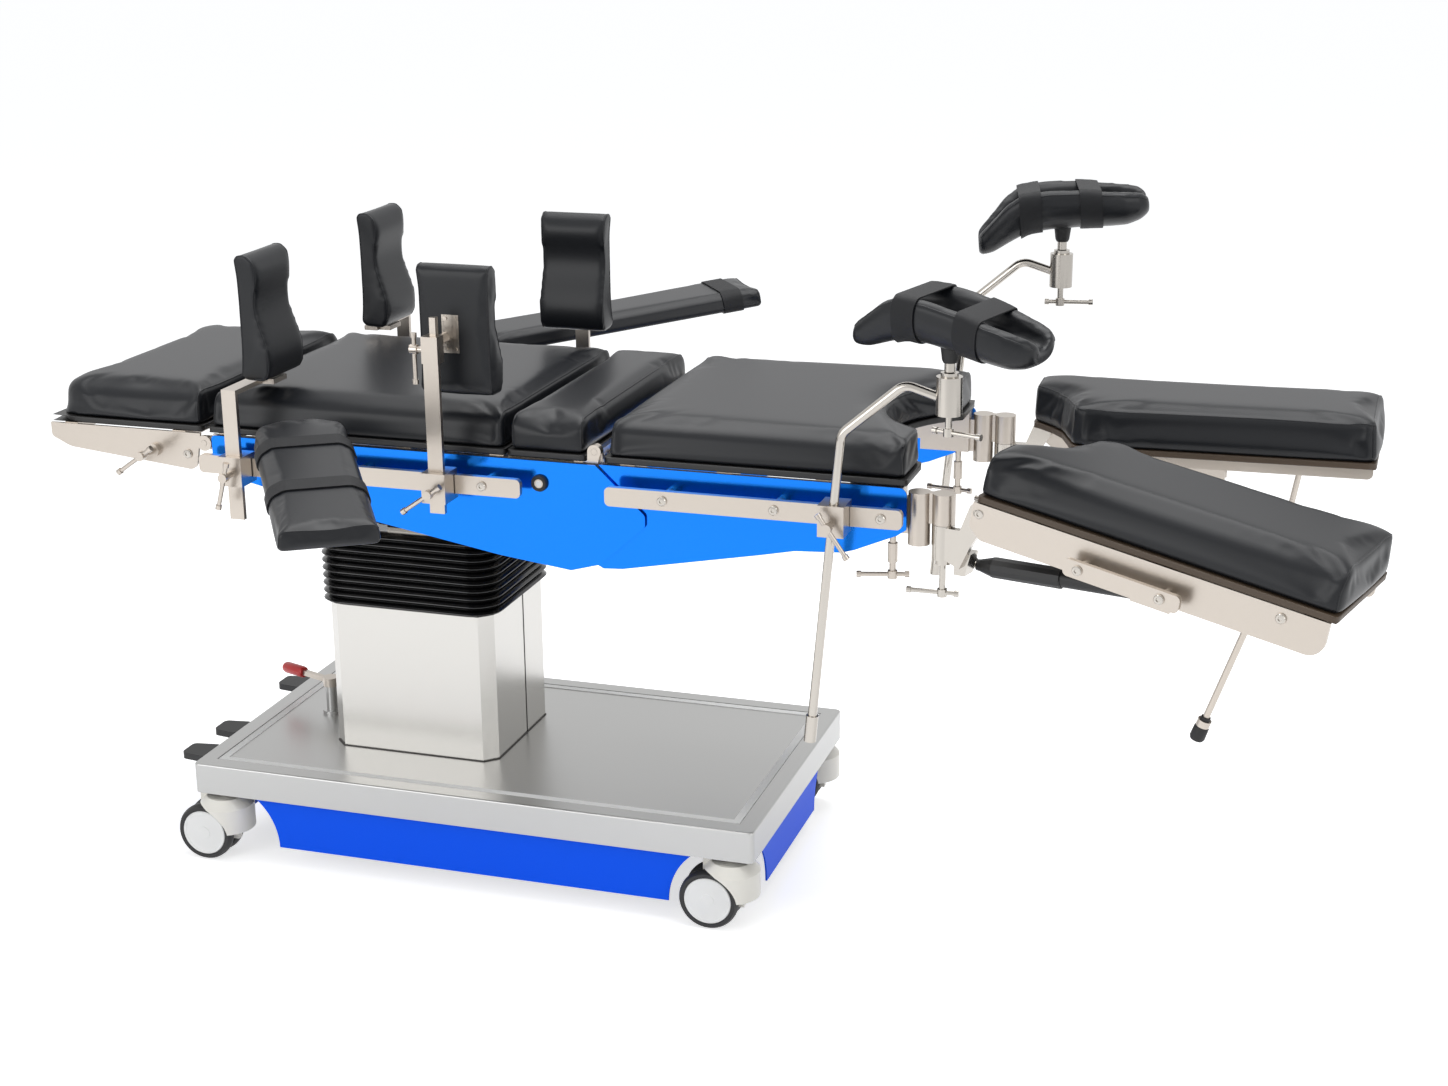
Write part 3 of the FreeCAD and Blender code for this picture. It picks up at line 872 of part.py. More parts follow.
def leg_pad(side, name, pitch):
    """The leg cushion, narrow at the knee with a curved shoulder on its inner side."""
    edge = "(leg_side - leg_pad_over)"
    reach = [("-leg_back", 0), ("leg_length + leg_pad_end - leg_back", 0),
             ("leg_length + leg_pad_end - leg_back", "leg_pad_width")]
    reach += [(f"shoulder_x_{number} - leg_back", f"shoulder_y_{number}") for number in (5, 4, 3, 2, 1)]
    reach.append(("-leg_back", "shoulder_y_1 - shoulder_x_1"))
    plan = [(x, f"{side} * ({edge} - ({y}))") for x, y in reach]
    rounds = {0: "pad_corner / 2", 1: "pad_corner", 2: "pad_corner", 3: "pad_corner"}
    last = len(plan) - 1
    ordered = plan if side < 0 else plan[::-1]
    rounded = [(index if side < 0 else last - index, radius) for index, radius in rounds.items()]
    level = (f"{BOARD} - {TOP} - leg_hinge_z - leg_pad_drop", f"{PAD_TOP} - {TOP} - leg_hinge_z")
    pad = grouped(soft_top(slab(ordered, level, rounded), "pad_round"))
    bind(pad, "Placement", pitch)
    node(f"leg_pad_{name}", pad)


def gas_spring(side, name, pitch):
    """The spring's housing on the leg and its rod, aimed at the knuckle's lug."""
    dip = f"{name}_leg_dip * 1deg"
    run, fall = "(spring_near_x - leg_hinge_x)", "(-spring_near_drop - leg_hinge_z)"
    reach_x = f"({run} * cos({dip}) - {fall} * sin({dip}) - spring_far_x)"
    reach_z = f"({run} * sin({dip}) + {fall} * cos({dip}) + spring_far_drop)"
    length = f"hypot({reach_x}; {reach_z})"
    turn = f"rotation(vector(0; 1; 0); 0deg - atan2({reach_z}; {reach_x}))"
    aim = f"{pitch} * {about('spring_far_x', f'{side} * (-spring_side)', '-spring_far_drop', turn)}"
    eye = rod_y("spring_radius - 1", 0, about_middle(0, "spring_radius - 1"), 0)
    tube = rod_x("spring_radius", ("piston_half", "spring_tube"), 0, 0)
    bore = rod_x("spring_rod + spring_bore_play", ("spring_bore_start", "spring_tube + cut_margin"), 0, 0)
    pin_hole = rod_y("pin_radius + pivot_play", 0, about_middle(0, "2 * spring_radius"), 0)
    spring = less(fused(eye, tube), bore, pin_hole)
    bind(spring, "Placement", aim)
    node(f"gas_spring_{name}", spring)
    tail = f"{length} - spring_rod_length"
    shaft = rod_x("spring_rod", (tail, f"{length} - eye_radius / 2"), 0, 0)
    piston = rod_x("spring_rod + piston_over", about_middle(f"({tail})", "piston_half"), 0, 0)
    plunger = fused(shaft, piston, rod_y("eye_radius", length, about_middle(0, "eye_half"), 0))
    bind(plunger, "Placement", aim)
    node(f"gas_rod_{name}", plunger)


def release_lever(side, name, pitch):
    """The hanging release lever with its rubber tip."""
    lean = "rotation(vector(0; 1; 0); 180 + release_lean)"
    tip_from = "(release_length - tip_length)"
    hub = rod_y("release_hub", 0, across(side, "-release_hub_out", "release_hub_in"), 0)
    shaft = rod("release_radius", f"{tip_from} + tip_lap", 0, 0, 0, lean)
    tip = rod("tip_radius", "tip_length", f"-sin(release_lean * 1deg) * {tip_from}", 0,
              f"-cos(release_lean * 1deg) * {tip_from}", lean)
    hole = rod_y("release_pin + pivot_play", 0, about_middle(0, "2 * release_hub"), 0)
    lever = less(fused(hub, shaft, tip), hole)
    bind(lever, "Placement", f"{pitch} * {about('release_x', 0, '-release_drop')}")
    node(f"release_lever_{name}", lever)


def leg(side, name):
    """One leg plate with everything that moves on it."""
    swing = about(f"{HIP} + swing_x", f"{side} * {SWING_Y}", 0, turn_z(f"{side} * {name}_leg_out"))
    pitch = f"{swing} * {about('leg_hinge_x', 0, f'{TOP} + leg_hinge_z', f'rotation(vector(0; 1; 0); {name}_leg_dip)')}"
    leg_knuckle(side, name, swing)
    leg_frame(side, name, pitch)
    leg_pad(side, name, pitch)
    gas_spring(side, name, pitch)
    release_lever(side, name, pitch)


def clamp(x, side, handle_turn, hole=None):
    """A clamp that hooks over the rail, with its screw and tommy bar."""
    low, high = f"{RAIL} - clamp_over", f"{RAIL_TOP} + clamp_over"
    span = about_middle(x, "clamp_half")
    face = f"({RAIL_OUT} + screw_height + hook_gap)"
    back = f"{RAIL_IN} - hook_reach"
    body = [block(span, across(side, face, f"{face} + clamp_depth"), (low, high))]
    for ends in ((low, f"{RAIL} - plate_play"), (f"{RAIL_TOP} + plate_play", high)):
        body.append(block(span, across(side, back, face), ends))
    for ends in ((low, f"{RAIL} + hook_lip"), (f"{RAIL_TOP} - hook_lip", high)):
        body.append(block(span, across(side, back, f"{RAIL_IN} - plate_play"), ends))
    whole = fused(*body)
    turn = f"rotation(vector(1; 0; 0); {-90 * side}) * {turn_z(handle_turn)}"
    handle = t_handle(x, f"{side} * ({face} + clamp_depth)", f"{RAIL_MID} - clamp_screw_drop", turn)
    return [less(whole, hole) if hole else whole, handle]


def flat_hole(x, side):
    """The upright slot for a flat post."""
    return block(about_middle(x, "bar_wide / 2 + bar_play"),
                 across(side, f"{POST} - bar_thick / 2 - bar_play", f"{POST} + bar_thick / 2 + bar_play"),
                 (f"{RAIL} - 2 * clamp_over", f"{RAIL_TOP} + 2 * clamp_over"))


def contoured_pad(x, y, turn):
    """A support cushion, flat behind and waved in front, in its own frame with the back on Y = 0."""
    s = {name: sheet.get(name) for name in NAMES}
    deep, waist, tall = s["contour_deep"], s["contour_waist"], s["contour_height"]
    half, chamfer = s["contour_width"] / 2, s["contour_chamfer"]
    front = [(deep * 0.8, 0), (deep, tall * 0.09), (deep * 0.97, tall * 0.24), (waist * 1.3, tall * 0.42),
             (waist, tall * 0.6), (waist * 1.2, tall * 0.78), (waist * 1.25, tall * 0.9), (waist * 0.9, tall * 0.985),
             (waist * 0.45, tall)]
    behind = [front[-1], (chamfer, tall), (0, tall - chamfer), (0, chamfer), (chamfer, 0), front[0]]
    curve = Part.BSplineCurve()
    curve.interpolate([FreeCAD.Vector(-half, a, z) for a, z in front])
    corners = [FreeCAD.Vector(-half, a, z) for a, z in behind]
    lines = [Part.LineSegment(first, second).toShape() for first, second in zip(corners, corners[1:])]
    item = doc.addObject("Part::Feature", "Contour")
    item.Shape = Part.Face(Part.Wire([curve.toShape()] + lines)).extrude(FreeCAD.Vector(2 * half, 0, 0))
    return placed(grouped(item), x, y, CONTOUR, turn)


def shoulder_support(side, name):
    """A flat post with a bent arm and a saddle under an upright cushion."""
    x = f"({HIP} - shoulder_x)"
    top = f"({RAIL} + shoulder_height)"
    ends = about_middle(x, "bar_wide / 2")
    arm_z = about_middle(top, "bar_thick / 2")
    post_out = f"{POST} + bar_thick / 2"
    upright = block(ends, across(side, f"{POST} - bar_thick / 2", post_out), (f"{RAIL} - shoulder_tail", top))
    over = block(ends, across(side, "shoulder_pad_y - shoulder_arm", post_out), arm_z)
    saddle = block((f"{x} - saddle_back", f"{x} + saddle_front"),
                   across(side, "shoulder_pad_y - saddle_half", "shoulder_pad_y + saddle_half"), arm_z)
    stud = rod_z("stud_radius", f"{x} + stud_x", f"{side} * shoulder_pad_y", (arm_z[1], CONTOUR))
    node(f"shoulder_bar_{name}", fused(upright, over, saddle, stud))
    node(f"shoulder_pad_{name}", contoured_pad(x, f"{side} * shoulder_pad_y", turn_z(-90)))


def body_support(side, name):
    """A flat post with a clamp head, a riveted plate and an upright cushion that faces the middle."""
    x = f"({HIP} - support_x)"
    top = f"({RAIL} + support_height)"
    back = "(support_pad_y + contour_deep)"
    plate_out = f"({back} + washer_thick)"
    post = block(about_middle(x, "bar_wide / 2"), across(side, f"{POST} - bar_thick / 2", f"{POST} + bar_thick / 2"),
                 (f"{RAIL} - support_tail", top))
    head = block((f"{x} - head_left", f"{x} + head_right"), across(side, f"{POST} - head_out", f"{POST} + head_in"),
                 (f"{top} - head_low", f"{top} + head_high"))
    stud = rod_y("support_stud", f"{x} + rivet_height", across(side, plate_out, f"{POST} - head_out"),
                 f"{top} + support_stud_rise")
    washer = block((f"{x} - washer_left", f"{x} + washer_right"), across(side, back, plate_out),
                   (f"{top} - washer_low", f"{top} + washer_high"))
    rivets = [rod_y("rivet_radius", x_at, across(side, plate_out, f"{plate_out} + rivet_height"), z_at)
              for x_at in (f"{x} - washer_left + rivet_inset", f"{x} + washer_right - rivet_inset")
              for z_at in (f"{top} - washer_low + rivet_inset", f"{top} + washer_high - rivet_inset")]
    turn = f"{turn_z(180)} * rotation(vector(0; 1; 0); 90)"
    knob = t_handle(f"{x} - head_left", f"{side} * {POST}", f"{top} + knob_rise", turn, "knob_reach")
    prop = block((f"{x} - washer_left", f"{x} + prop_right"), across(side, f"{POST} - prop_out", f"{POST} - washer_left"),
                 (f"{top} + head_high", f"{top} + prop_top"))
    node(f"support_post_{name}", fused(post, head, stud, washer, *rivets, knob, prop))
    node(f"support_pad_{name}", contoured_pad(f"{HIP} - support_pad_x", f"{side} * {back}", turn_z(180) if side > 0 else NO_TURN))


def arm_board(side, name):
    """A padded board that swings on the stem of its clamp."""
    half = "arm_width / 2"
    tip = f"{name}_arm_length - arm_back"
    plan = [("-arm_back", f"arm_cut_y - {half}"), ("arm_cut_x - arm_back", f"-{half}"), (tip, f"-{half}"), (tip, half),
            ("arm_cut_x - arm_back", half), ("-arm_back", f"{half} - arm_cut_y")]
    pad = soft_top(slab(plan, ("-arm_thick", 0), [(index, "arm_corner") for index in range(6)]), "arm_round")
    tilted = placed(grouped(pad), 0, 0, ARM_Z, f"rotation(vector(0; 1; 0); {name}_arm_tilt)")
    low = f"({ARM_Z} - arm_thick - arm_hub_drop)"
    hub = rod_z("arm_hub", 0, 0, (low, f"{ARM_Z} - arm_thick / 2"))
    bore = rod_z("arm_stem + pivot_play", 0, 0, (f"{low} - cut_margin", f"{low} + arm_bore_rise"))
    board = less(fused(tilted, hub), bore)
    bind(board, "Placement", about(f"{HIP} - arm_x", f"{side} * {POST}", 0, turn_z(f"{side} * {name}_arm_angle")))
    node(f"arm_board_{name}", board)


def back_clamps():
    """Rail clamps of the back section, the arm boards' ones with their stems."""
    pieces = []
    for side, name in SIDES:
        half_turn = 180 if side > 0 else 0
        for x, turn in ((f"({HIP} - shoulder_x)", 255), (f"({HIP} - support_x)", 215)):
            pieces += clamp(x, side, turn - half_turn, flat_hole(x, side))
        arm = f"({HIP} - arm_x)"
        pieces += clamp(arm, side, 270)
        pieces.append(rod_z("arm_stem", arm, f"{side} * {POST}",
                            (f"{RAIL_TOP} + clamp_over", f"{ARM_Z} - arm_thick - arm_stem_gap")))
    node("back_rail_clamps", grouped(*pieces))


def bent_tube(corners, bend, radius):
    """A round tube along straight runs joined by tangent arcs."""
    edges, start = [], corners[0]
    for before, corner, after in zip(corners, corners[1:], corners[2:]):
        back, ahead = (before - corner).normalize(), (after - corner).normalize()
        half = back.getAngle(ahead) / 2
        run = bend / math.tan(half)
        middle = corner + (back + ahead).normalize() * (bend / math.sin(half) - bend)
        first, last = corner + back * run, corner + ahead * run
        edges += [Part.LineSegment(start, first).toShape(), Part.Arc(first, middle, last).toShape()]
        start = last
    edges.append(Part.LineSegment(start, corners[-1]).toShape())
    circle = Part.Wire(Part.Circle(corners[0], corners[1] - corners[0], radius).toShape())
    return Part.Wire(edges).makePipeShell([circle], True, False)


def holder_frames(side, name):
    """Where a leg holder stands in its clamp, and where its socket stands upright."""
    foot = about(f"{HIP} + {name}_holder_x", f"{side} * ({POST} + holder_offset)", RAIL_MID,
                 "rotation(vector(0; 1; 0); holder_lean)")
    frame = f"{foot} * {about(0, 0, f'{name}_holder_rise')}"
    socket = about("(holder_step_x + holder_arm + socket_offset)", 0, "(holder_above + holder_step_z - socket_drop)",
                   "rotation(vector(0; 1; 0); -holder_lean)")
    return foot, frame, f"{frame} * {socket}"


def holder_rod(name, frame, upright):
    """The bent rod with its lower sleeve and the clamping socket at its upper end."""
    s = {key: sheet.get(key) for key in NAMES}
    step_x, step_z = s["holder_step_x"], s["holder_above"] + s["holder_step_z"]
    corners = [(0, -s["holder_below"]), (0, s["holder_above"]), (step_x, step_z),
               (step_x + s["holder_arm"], step_z - s["holder_arm_drop"])]
    tube = doc.addObject("Part::Feature", "BentTube")
    tube.Shape = bent_tube([FreeCAD.Vector(a, 0, b) for a, b in corners], s["holder_bend"], s["holder_radius"])
    tube = grouped(tube)
    sleeve = rod_z("holder_sleeve", 0, 0, ("-holder_below", "-holder_below + holder_sleeve_length"))
    bind(tube, "Placement", frame)
    bind(sleeve, "Placement", f"{frame} * {about(0, 0, '-holder_below')}")
    half = "socket_height / 2"
    barrel = rod_z("socket_radius", 0, 0, (f"-{half}", half))
    neck = rod_z("socket_radius - socket_neck", 0, 0, (half, f"{half} + socket_neck"))
    bore = rod_z("socket_bore + pivot_play", 0, 0, (0, "socket_height"))
    turn = f"{UPSIDE_DOWN} * {turn_z({'near': 20, 'far': -10}[name])}"
    screw = t_handle(0, 0, f"-{half}", turn, "holder_screw_reach")
    head = less(fused(barrel, neck, screw), bore)
    bind(head, "Placement", upright)
    node(f"holder_rod_{name}", fused(tube, sleeve, head))


def leg_cradle(name, upright):
    """The padded knee crutch: a hollow saddle on a cup and a stem that turns in the socket."""
    base_up = "(socket_height / 2 + cradle_rise)"
    stem = rod_z("socket_bore", 0, 0, ("cradle_stem_gap", f"{base_up} - cradle_stem_gap"))
    cup = cone("cradle_cup_low", "cradle_cup_high", "cradle_cup", 0, 0, f"{base_up} - cradle_cup_drop")
    half_l, half_w = "cradle_length / 2", "cradle_width / 2"
    side_view = [(f"-{half_l}", "-cradle_mouth"), (f"cradle_tip - {half_l}", "-cradle_tip_drop"),
                 (f"cradle_neck - {half_l}", "cradle_neck_rise"), (f"{half_l} - cradle_foot", 0),
                 (f"{half_l} - cradle_lip", "-cradle_foot_drop"), (half_l, "cradle_lip_rise"),
                 (f"{half_l} - cradle_lip_rise", "cradle_height - cradle_heel_drop"),
                 (f"cradle_peak - {half_l}", "cradle_height"), (f"cradle_peak_near - {half_l}", "cradle_height"),
                 (f"cradle_mouth - {half_l}", "cradle_mouth_rise")]
    rounds = [(0, "cradle_soft"), (1, "cradle_soft"), (2, "cradle_bend"), (4, "cradle_soft"), (5, "cradle_soft"),
              (6, "2 * cradle_soft"), (7, "2 * cradle_soft"), (8, "cradle_bend"), (9, "cradle_soft")]
    body = placed(plate("XZ_Plane", side_view, "cradle_width", rounds), 0, half_w, 0)
    hollow = rod_x(f"{half_w} - cradle_wall", about_middle(0, f"{half_l} + cradle_bend"), 0, "cradle_height + cradle_hollow")
    turn = f"{turn_z(f'{name}_cradle_turn')} * rotation(vector(0; 1; 0); {name}_cradle_dip)"
    shell = placed(grouped(less(body, hollow)), 0, 0, base_up, turn)
    cradle = fused(stem, cup, shell)
    bind(cradle, "Placement", upright)
    node(f"leg_cradle_{name}", cradle)


def leg_holders():
    """Both leg holders and the seat rail clamps that hold their rods."""
    clamps = []
    for side, name in SIDES:
        foot, frame, upright = holder_frames(side, name)
        holder_rod(name, frame, upright)
        leg_cradle(name, upright)
        hole = rod_z("holder_radius + bar_play", 0, 0, (0, "4 * rail_height"))
        bind(hole, "Placement", f"{foot} * {about(0, 0, '-2 * rail_height')}")
        clamps += clamp(f"({HIP} + {name}_holder_x)", side, {"near": 305, "far": 125}[name], hole)
    node("seat_rail_clamps", grouped(*clamps))


base_cover()
base_chassis()
base_skirts()
for end_label, end in (("head", -1), ("foot", 1)):
    for side, side_label in SIDES:
        castor(f"{end_label}_{side_label}", end, side)
pedals()
brake_lever()
column()
tilting_head()
back_section()
kidney_section()
head_section()
seat_section()
for side, side_label in SIDES:
    leg(side, side_label)
    shoulder_support(side, side_label)
    body_support(side, side_label)
    arm_board(side, side_label)
back_clamps()
leg_holders()

doc.recompute()
faults = [item.Label for item in doc.Objects if "Invalid" in item.State or "Error" in item.State]
faults += [item.Label for item in nodes if item.Shape.isNull() or not item.Shape.isValid()]
if faults:
    raise RuntimeError("Not built: " + ", ".join(faults))

os.makedirs("parts", exist_ok=True)
box = FreeCAD.BoundBox()
for item in nodes:
    item.Shape.exportStep(f"parts/{item.Label}.step")
    box.add(item.Shape.BoundBox)
print(len(nodes), "sub-parts,", sum(len(item.Shape.Solids) for item in nodes), "solids,", box)
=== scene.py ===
import bmesh
import bpy
import json
import math
from mathutils import Matrix, Vector
from mathutils.bvhtree import BVHTree


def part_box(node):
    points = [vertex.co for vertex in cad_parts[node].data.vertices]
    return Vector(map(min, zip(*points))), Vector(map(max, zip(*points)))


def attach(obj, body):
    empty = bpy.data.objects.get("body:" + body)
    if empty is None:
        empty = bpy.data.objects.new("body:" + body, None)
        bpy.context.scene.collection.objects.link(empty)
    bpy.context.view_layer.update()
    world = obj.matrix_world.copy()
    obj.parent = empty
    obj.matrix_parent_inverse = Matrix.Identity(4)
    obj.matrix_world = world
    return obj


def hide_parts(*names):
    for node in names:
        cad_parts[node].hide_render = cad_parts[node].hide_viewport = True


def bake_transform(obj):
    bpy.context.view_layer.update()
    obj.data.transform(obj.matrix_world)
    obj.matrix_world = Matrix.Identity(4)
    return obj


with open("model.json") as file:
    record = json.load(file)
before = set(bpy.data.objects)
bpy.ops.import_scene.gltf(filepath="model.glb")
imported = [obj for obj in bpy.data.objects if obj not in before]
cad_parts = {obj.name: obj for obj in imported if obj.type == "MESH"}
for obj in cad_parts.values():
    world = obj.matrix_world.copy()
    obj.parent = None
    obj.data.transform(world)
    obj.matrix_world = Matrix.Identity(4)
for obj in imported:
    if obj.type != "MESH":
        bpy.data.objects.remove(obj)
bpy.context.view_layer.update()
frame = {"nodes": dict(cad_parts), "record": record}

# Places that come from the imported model, in metres
JOINT = {joint["name"]: joint for joint in frame["record"]["behaviour"]["joints"]}
NODE = frame["nodes"]
BASE_LOW, BASE_HIGH = (Vector(corner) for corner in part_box("base_cover"))
BASE_X = (BASE_LOW.x + BASE_HIGH.x) / 2
HIP = Vector(JOINT["seat_turn"]["pos_m"])
PAD_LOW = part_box("back_pad")[0][2]
PAD_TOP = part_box("back_pad")[1][2]
LEG_HINGE_Z = JOINT["leg_pitch_near"]["pos_m"][2]
SIDES = {"near": -1, "far": 1}

# Levels and sizes that follow the solids, in metres
BASE_TOP = 0.178
BOARD = 0.009
BOARD_EDGE = 0.002
RAIL_MID = 0.722
RAIL_FACE = 0.3030
HEAD_FACE = 0.2665
LEG_DIP = {"near": math.radians(9.3), "far": math.radians(-0.5)}
ROD_EYE = {"near": 0.27728, "far": 0.29327}

# How the cushions are made: voxels, swelling and the share of it left free at the start, edges and welts
VOXEL = 0.006
FINE_VOXEL = 0.005
SWELL = 0.007
SMALL_SWELL = 0.003
SHY_SHARE = 0.6
CLOTH_FRAMES = 20
HELD_RIM = 0.006
ROLL = 0.027
CRISP = 0.004
CORNER = 0.010
PIPING = 0.0015
PIPING_SUNK = 0.0004
WELT_INSET = 0.004
WELT_FOOT = 0.006
LEDGE = 0.0005
CREASE = 0.7

# The seat cushion's round cut-out
SEAT_CUT_RADIUS = 0.181
SEAT_CUT_DEPTH = 0.081
SEAT_CUT_STEPS = 16

# Leg cushions: an outline along the plate and inwards from its outer side
LEG_SIDE, LEG_INSET = 0.019, 0.003
LEG_START, LEG_END, LEG_WIDE = -0.005, 0.545, 0.230
LEG_ROLL = 0.034
LEG_OUTLINE = [(LEG_START, 0), (LEG_END, 0), (LEG_END - 0.003, LEG_WIDE - 0.004), (0.19, LEG_WIDE),
               (0.093, LEG_WIDE + 0.004), (0.079, LEG_WIDE - 0.006), (0.066, LEG_WIDE - 0.040),
               (0.052, LEG_WIDE - 0.078), (0.032, LEG_WIDE - 0.106), (0.008, LEG_WIDE - 0.130),
               (LEG_START, LEG_WIDE - 0.140)]
LEG_CORNERS = [0.010, 0.014, 0.012, 0.0, 0.012, 0.0, 0.0, 0.0, 0.0, 0.0, 0.012]

# Arm boards: degrees about their stems, length, and where the straps lie
ARM_TURN = {"near": -57, "far": 36}
ARM_TILT = {"near": 7.0, "far": -6.0}
ARM_LENGTH = {"near": 0.450, "far": 0.566}
ARM_STRAPS = {"near": (0.115, 0.285), "far": (0.50,)}
ARM_TOP, ARM_HALF, ARM_THICK, ARM_BACK = 0.818, 0.076, 0.034, 0.006

# Upright supports: the waved side outline as shares of depth and height
CONTOUR_DEPTH, CONTOUR_TALL, CONTOUR_HALF = 0.048, 0.205, 0.0585
CONTOUR = ((0.0, 0.03), (0.0, 0.5), (0.0, 0.97), (0.05, 1.0), (0.25, 1.0), (0.50, 0.985), (0.68, 0.93),
           (0.70, 0.85), (0.67, 0.78), (0.60, 0.69), (0.56, 0.60), (0.60, 0.51), (0.73, 0.42), (0.86, 0.33),
           (0.96, 0.24), (1.0, 0.16), (1.0, 0.09), (0.94, 0.03), (0.80, 0.0), (0.4, 0.0), (0.05, 0.0))

# Knee crutches: each station says how far along, half width, underside and height
CRADLE_TURN = {"near": -14, "far": 12}
CRADLE_DIP = {"near": 9, "far": -6}
CRADLE_RISE = 0.028 + 0.044
CRADLE_STRAPS = (-0.052, 0.046)
SADDLE = [(-0.1425, 0.030, -0.026, 0.030), (-0.136, 0.040, -0.031, 0.042), (-0.118, 0.047, -0.028, 0.056),
          (-0.092, 0.056, -0.014, 0.066), (-0.062, 0.063, 0.000, 0.070), (-0.020, 0.066, 0.003, 0.069),
          (0.030, 0.066, 0.002, 0.067), (0.072, 0.065, -0.001, 0.064), (0.104, 0.060, -0.002, 0.060),
          (0.126, 0.052, 0.004, 0.050), (0.138, 0.042, 0.012, 0.036), (0.1425, 0.030, 0.018, 0.022)]

# Webbing straps
ARM_STRAP_WIDE = 0.038
CRADLE_STRAP_WIDE = 0.036
CRADLE_STRAP_FLOOR = -0.008
STRAP_SECTION = 0.006
STRAP_POINTS = 96
STRAP_INNER, STRAP_OUTER = 0.0006, 0.0026

# Castor wheels
WHEEL_WIDE, WHEEL_GAP = 0.021, 0.014

# The camera that took the photograph
PHOTO_WIDE = 1448
FOCAL_PIXELS = 2233.42
SENSOR = 36.0

# Fine grain: scale, stretch along X Y Z, bump strength and bump distance
BRUSHED = (60, (1, 1, 30), 0.10, 0.0004)
COLUMN_BRUSHED = (40, (1, 1, 26), 0.08, 0.0004)
BASE_BRUSHED = (40, (30, 1, 1), 0.07, 0.0004)
LEATHER_GRAIN = (900, (1, 1, 1), 0.14, 0.0004)
WEAVE = (1200, (1, 1, 1), 0.4, 0.0005)


def linear(red, green, blue):
    """A screen colour out of 255 as the shader's linear one."""
    parts = [channel / 255 for channel in (red, green, blue)]
    return tuple(p / 12.92 if p <= 0.04045 else ((p + 0.055) / 1.055) ** 2.4 for p in parts) + (1.0,)


def finish(name, colour, roughness, metallic=0.0, coat=0.0, grain=None, specular=0.5):
    """A plain material, with a fine grain where one is given."""
    material = bpy.data.materials.new(name)
    material.use_nodes = True
    nodes, links = material.node_tree.nodes, material.node_tree.links
    shader = nodes["Principled BSDF"]
    shader.inputs["Base Color"].default_value = colour
    shader.inputs["Roughness"].default_value = roughness
    shader.inputs["Metallic"].default_value = metallic
    shader.inputs["Coat Weight"].default_value = coat
    shader.inputs["Coat Roughness"].default_value = 0.06
    shader.inputs["Specular IOR Level"].default_value = specular
    if grain:
        scale, stretch, strength, distance = grain
        place = nodes.new("ShaderNodeTexCoord")
        mapping = nodes.new("ShaderNodeMapping")
        mapping.inputs["Scale"].default_value = stretch
        noise = nodes.new("ShaderNodeTexNoise")
        noise.inputs["Scale"].default_value = scale
        noise.inputs["Detail"].default_value = 4.0
        bump = nodes.new("ShaderNodeBump")
        bump.inputs["Strength"].default_value = strength
        bump.inputs["Distance"].default_value = distance
        links.new(place.outputs["Object"], mapping.inputs["Vector"])
        links.new(mapping.outputs["Vector"], noise.inputs["Vector"])
        links.new(noise.outputs["Fac"], bump.inputs["Height"])
        links.new(bump.outputs["Normal"], shader.inputs["Normal"])
    return material


STEEL = finish("satin_steel", linear(184, 176, 167), 0.30, 1.0, grain=BRUSHED)
POLISHED = finish("polished_steel", linear(180, 175, 168), 0.18, 1.0)
SHEET_STEEL = finish("column_sheet", linear(194, 192, 188), 0.27, 1.0, grain=COLUMN_BRUSHED)
BASE_STEEL = finish("base_sheet", linear(178, 178, 177), 0.32, 1.0, grain=BASE_BRUSHED)
CHASSIS = finish("chassis_paint", linear(70, 72, 74), 0.5)
AZURE = finish("azure_metal", linear(0, 116, 226), 0.16, 0.85, coat=0.12)
SKIRT_BLUE = finish("skirt_blue", linear(0, 92, 255), 0.45, specular=0.15)
LEATHER = finish("black_leatherette", linear(19, 21, 25), 0.36, grain=LEATHER_GRAIN, specular=0.32)
STRAP = finish("strap_webbing", linear(17, 18, 21), 0.6, grain=WEAVE, specular=0.3)
BOARD_BLACK = finish("board_edge", linear(20, 19, 19), 0.4)
BROWN_EDGE = finish("leg_board_edge", linear(74, 60, 46), 0.5)
RUBBER = finish("bellows_rubber", linear(9, 9, 10), 0.16)
PEDAL = finish("pedal_rubber", linear(24, 24, 25), 0.5)
IVORY = finish("ivory_housing", linear(244, 241, 232), 0.32, coat=0.3)
TYRE = finish("tyre_rubber", linear(30, 30, 31), 0.55)
DISC = finish("wheel_disc", linear(250, 250, 248), 0.35)
RED = finish("red_grip", linear(196, 22, 24), 0.35, coat=0.3)
DARK = finish("dark_recess", linear(12, 12, 13), 0.6)
WHITE = finish("white_button", linear(238, 238, 236), 0.4)
SEAM = finish("dark_joint", linear(70, 68, 66), 0.5, 0.6)
# Near-white matte finish for the painted highlight along the base's rim, not a colour the steel has
PAINTED_HIGHLIGHT = finish("pale_rim", linear(250, 250, 248), 0.6)

FINISHES = {
    AZURE: ["back_side_covers", "seat_side_covers"],
    SKIRT_BLUE: ["base_skirts"],
    SHEET_STEEL: ["column_cover"],
    BASE_STEEL: ["base_cover"],
    CHASSIS: ["base_chassis"],
    PEDAL: ["brake_pedals", "steer_pedal"],
    RUBBER: ["bellows"],
}


def paint_nodes():
    """Gives every CAD node that stays in view its finish."""
    chosen = {name: material for material, names in FINISHES.items() for name in names}
    for name, node in NODE.items():
        material = chosen.get(name, STEEL)
        if name.startswith("castor_fork"):
            material = IVORY
        if name.startswith("gas_spring"):
            material = PEDAL
        if name.startswith(("holder_rod", "gas_rod", "leg_knuckle", "inner_column")):
            material = POLISHED
        for slot in node.material_slots:
            slot.material = material


def joined_mesh(name, points, faces):
    """A mesh from plain points and faces."""
    mesh = bpy.data.meshes.new(name)
    mesh.from_pydata([tuple(point) for point in points], [], faces)
    mesh.update()
    return mesh


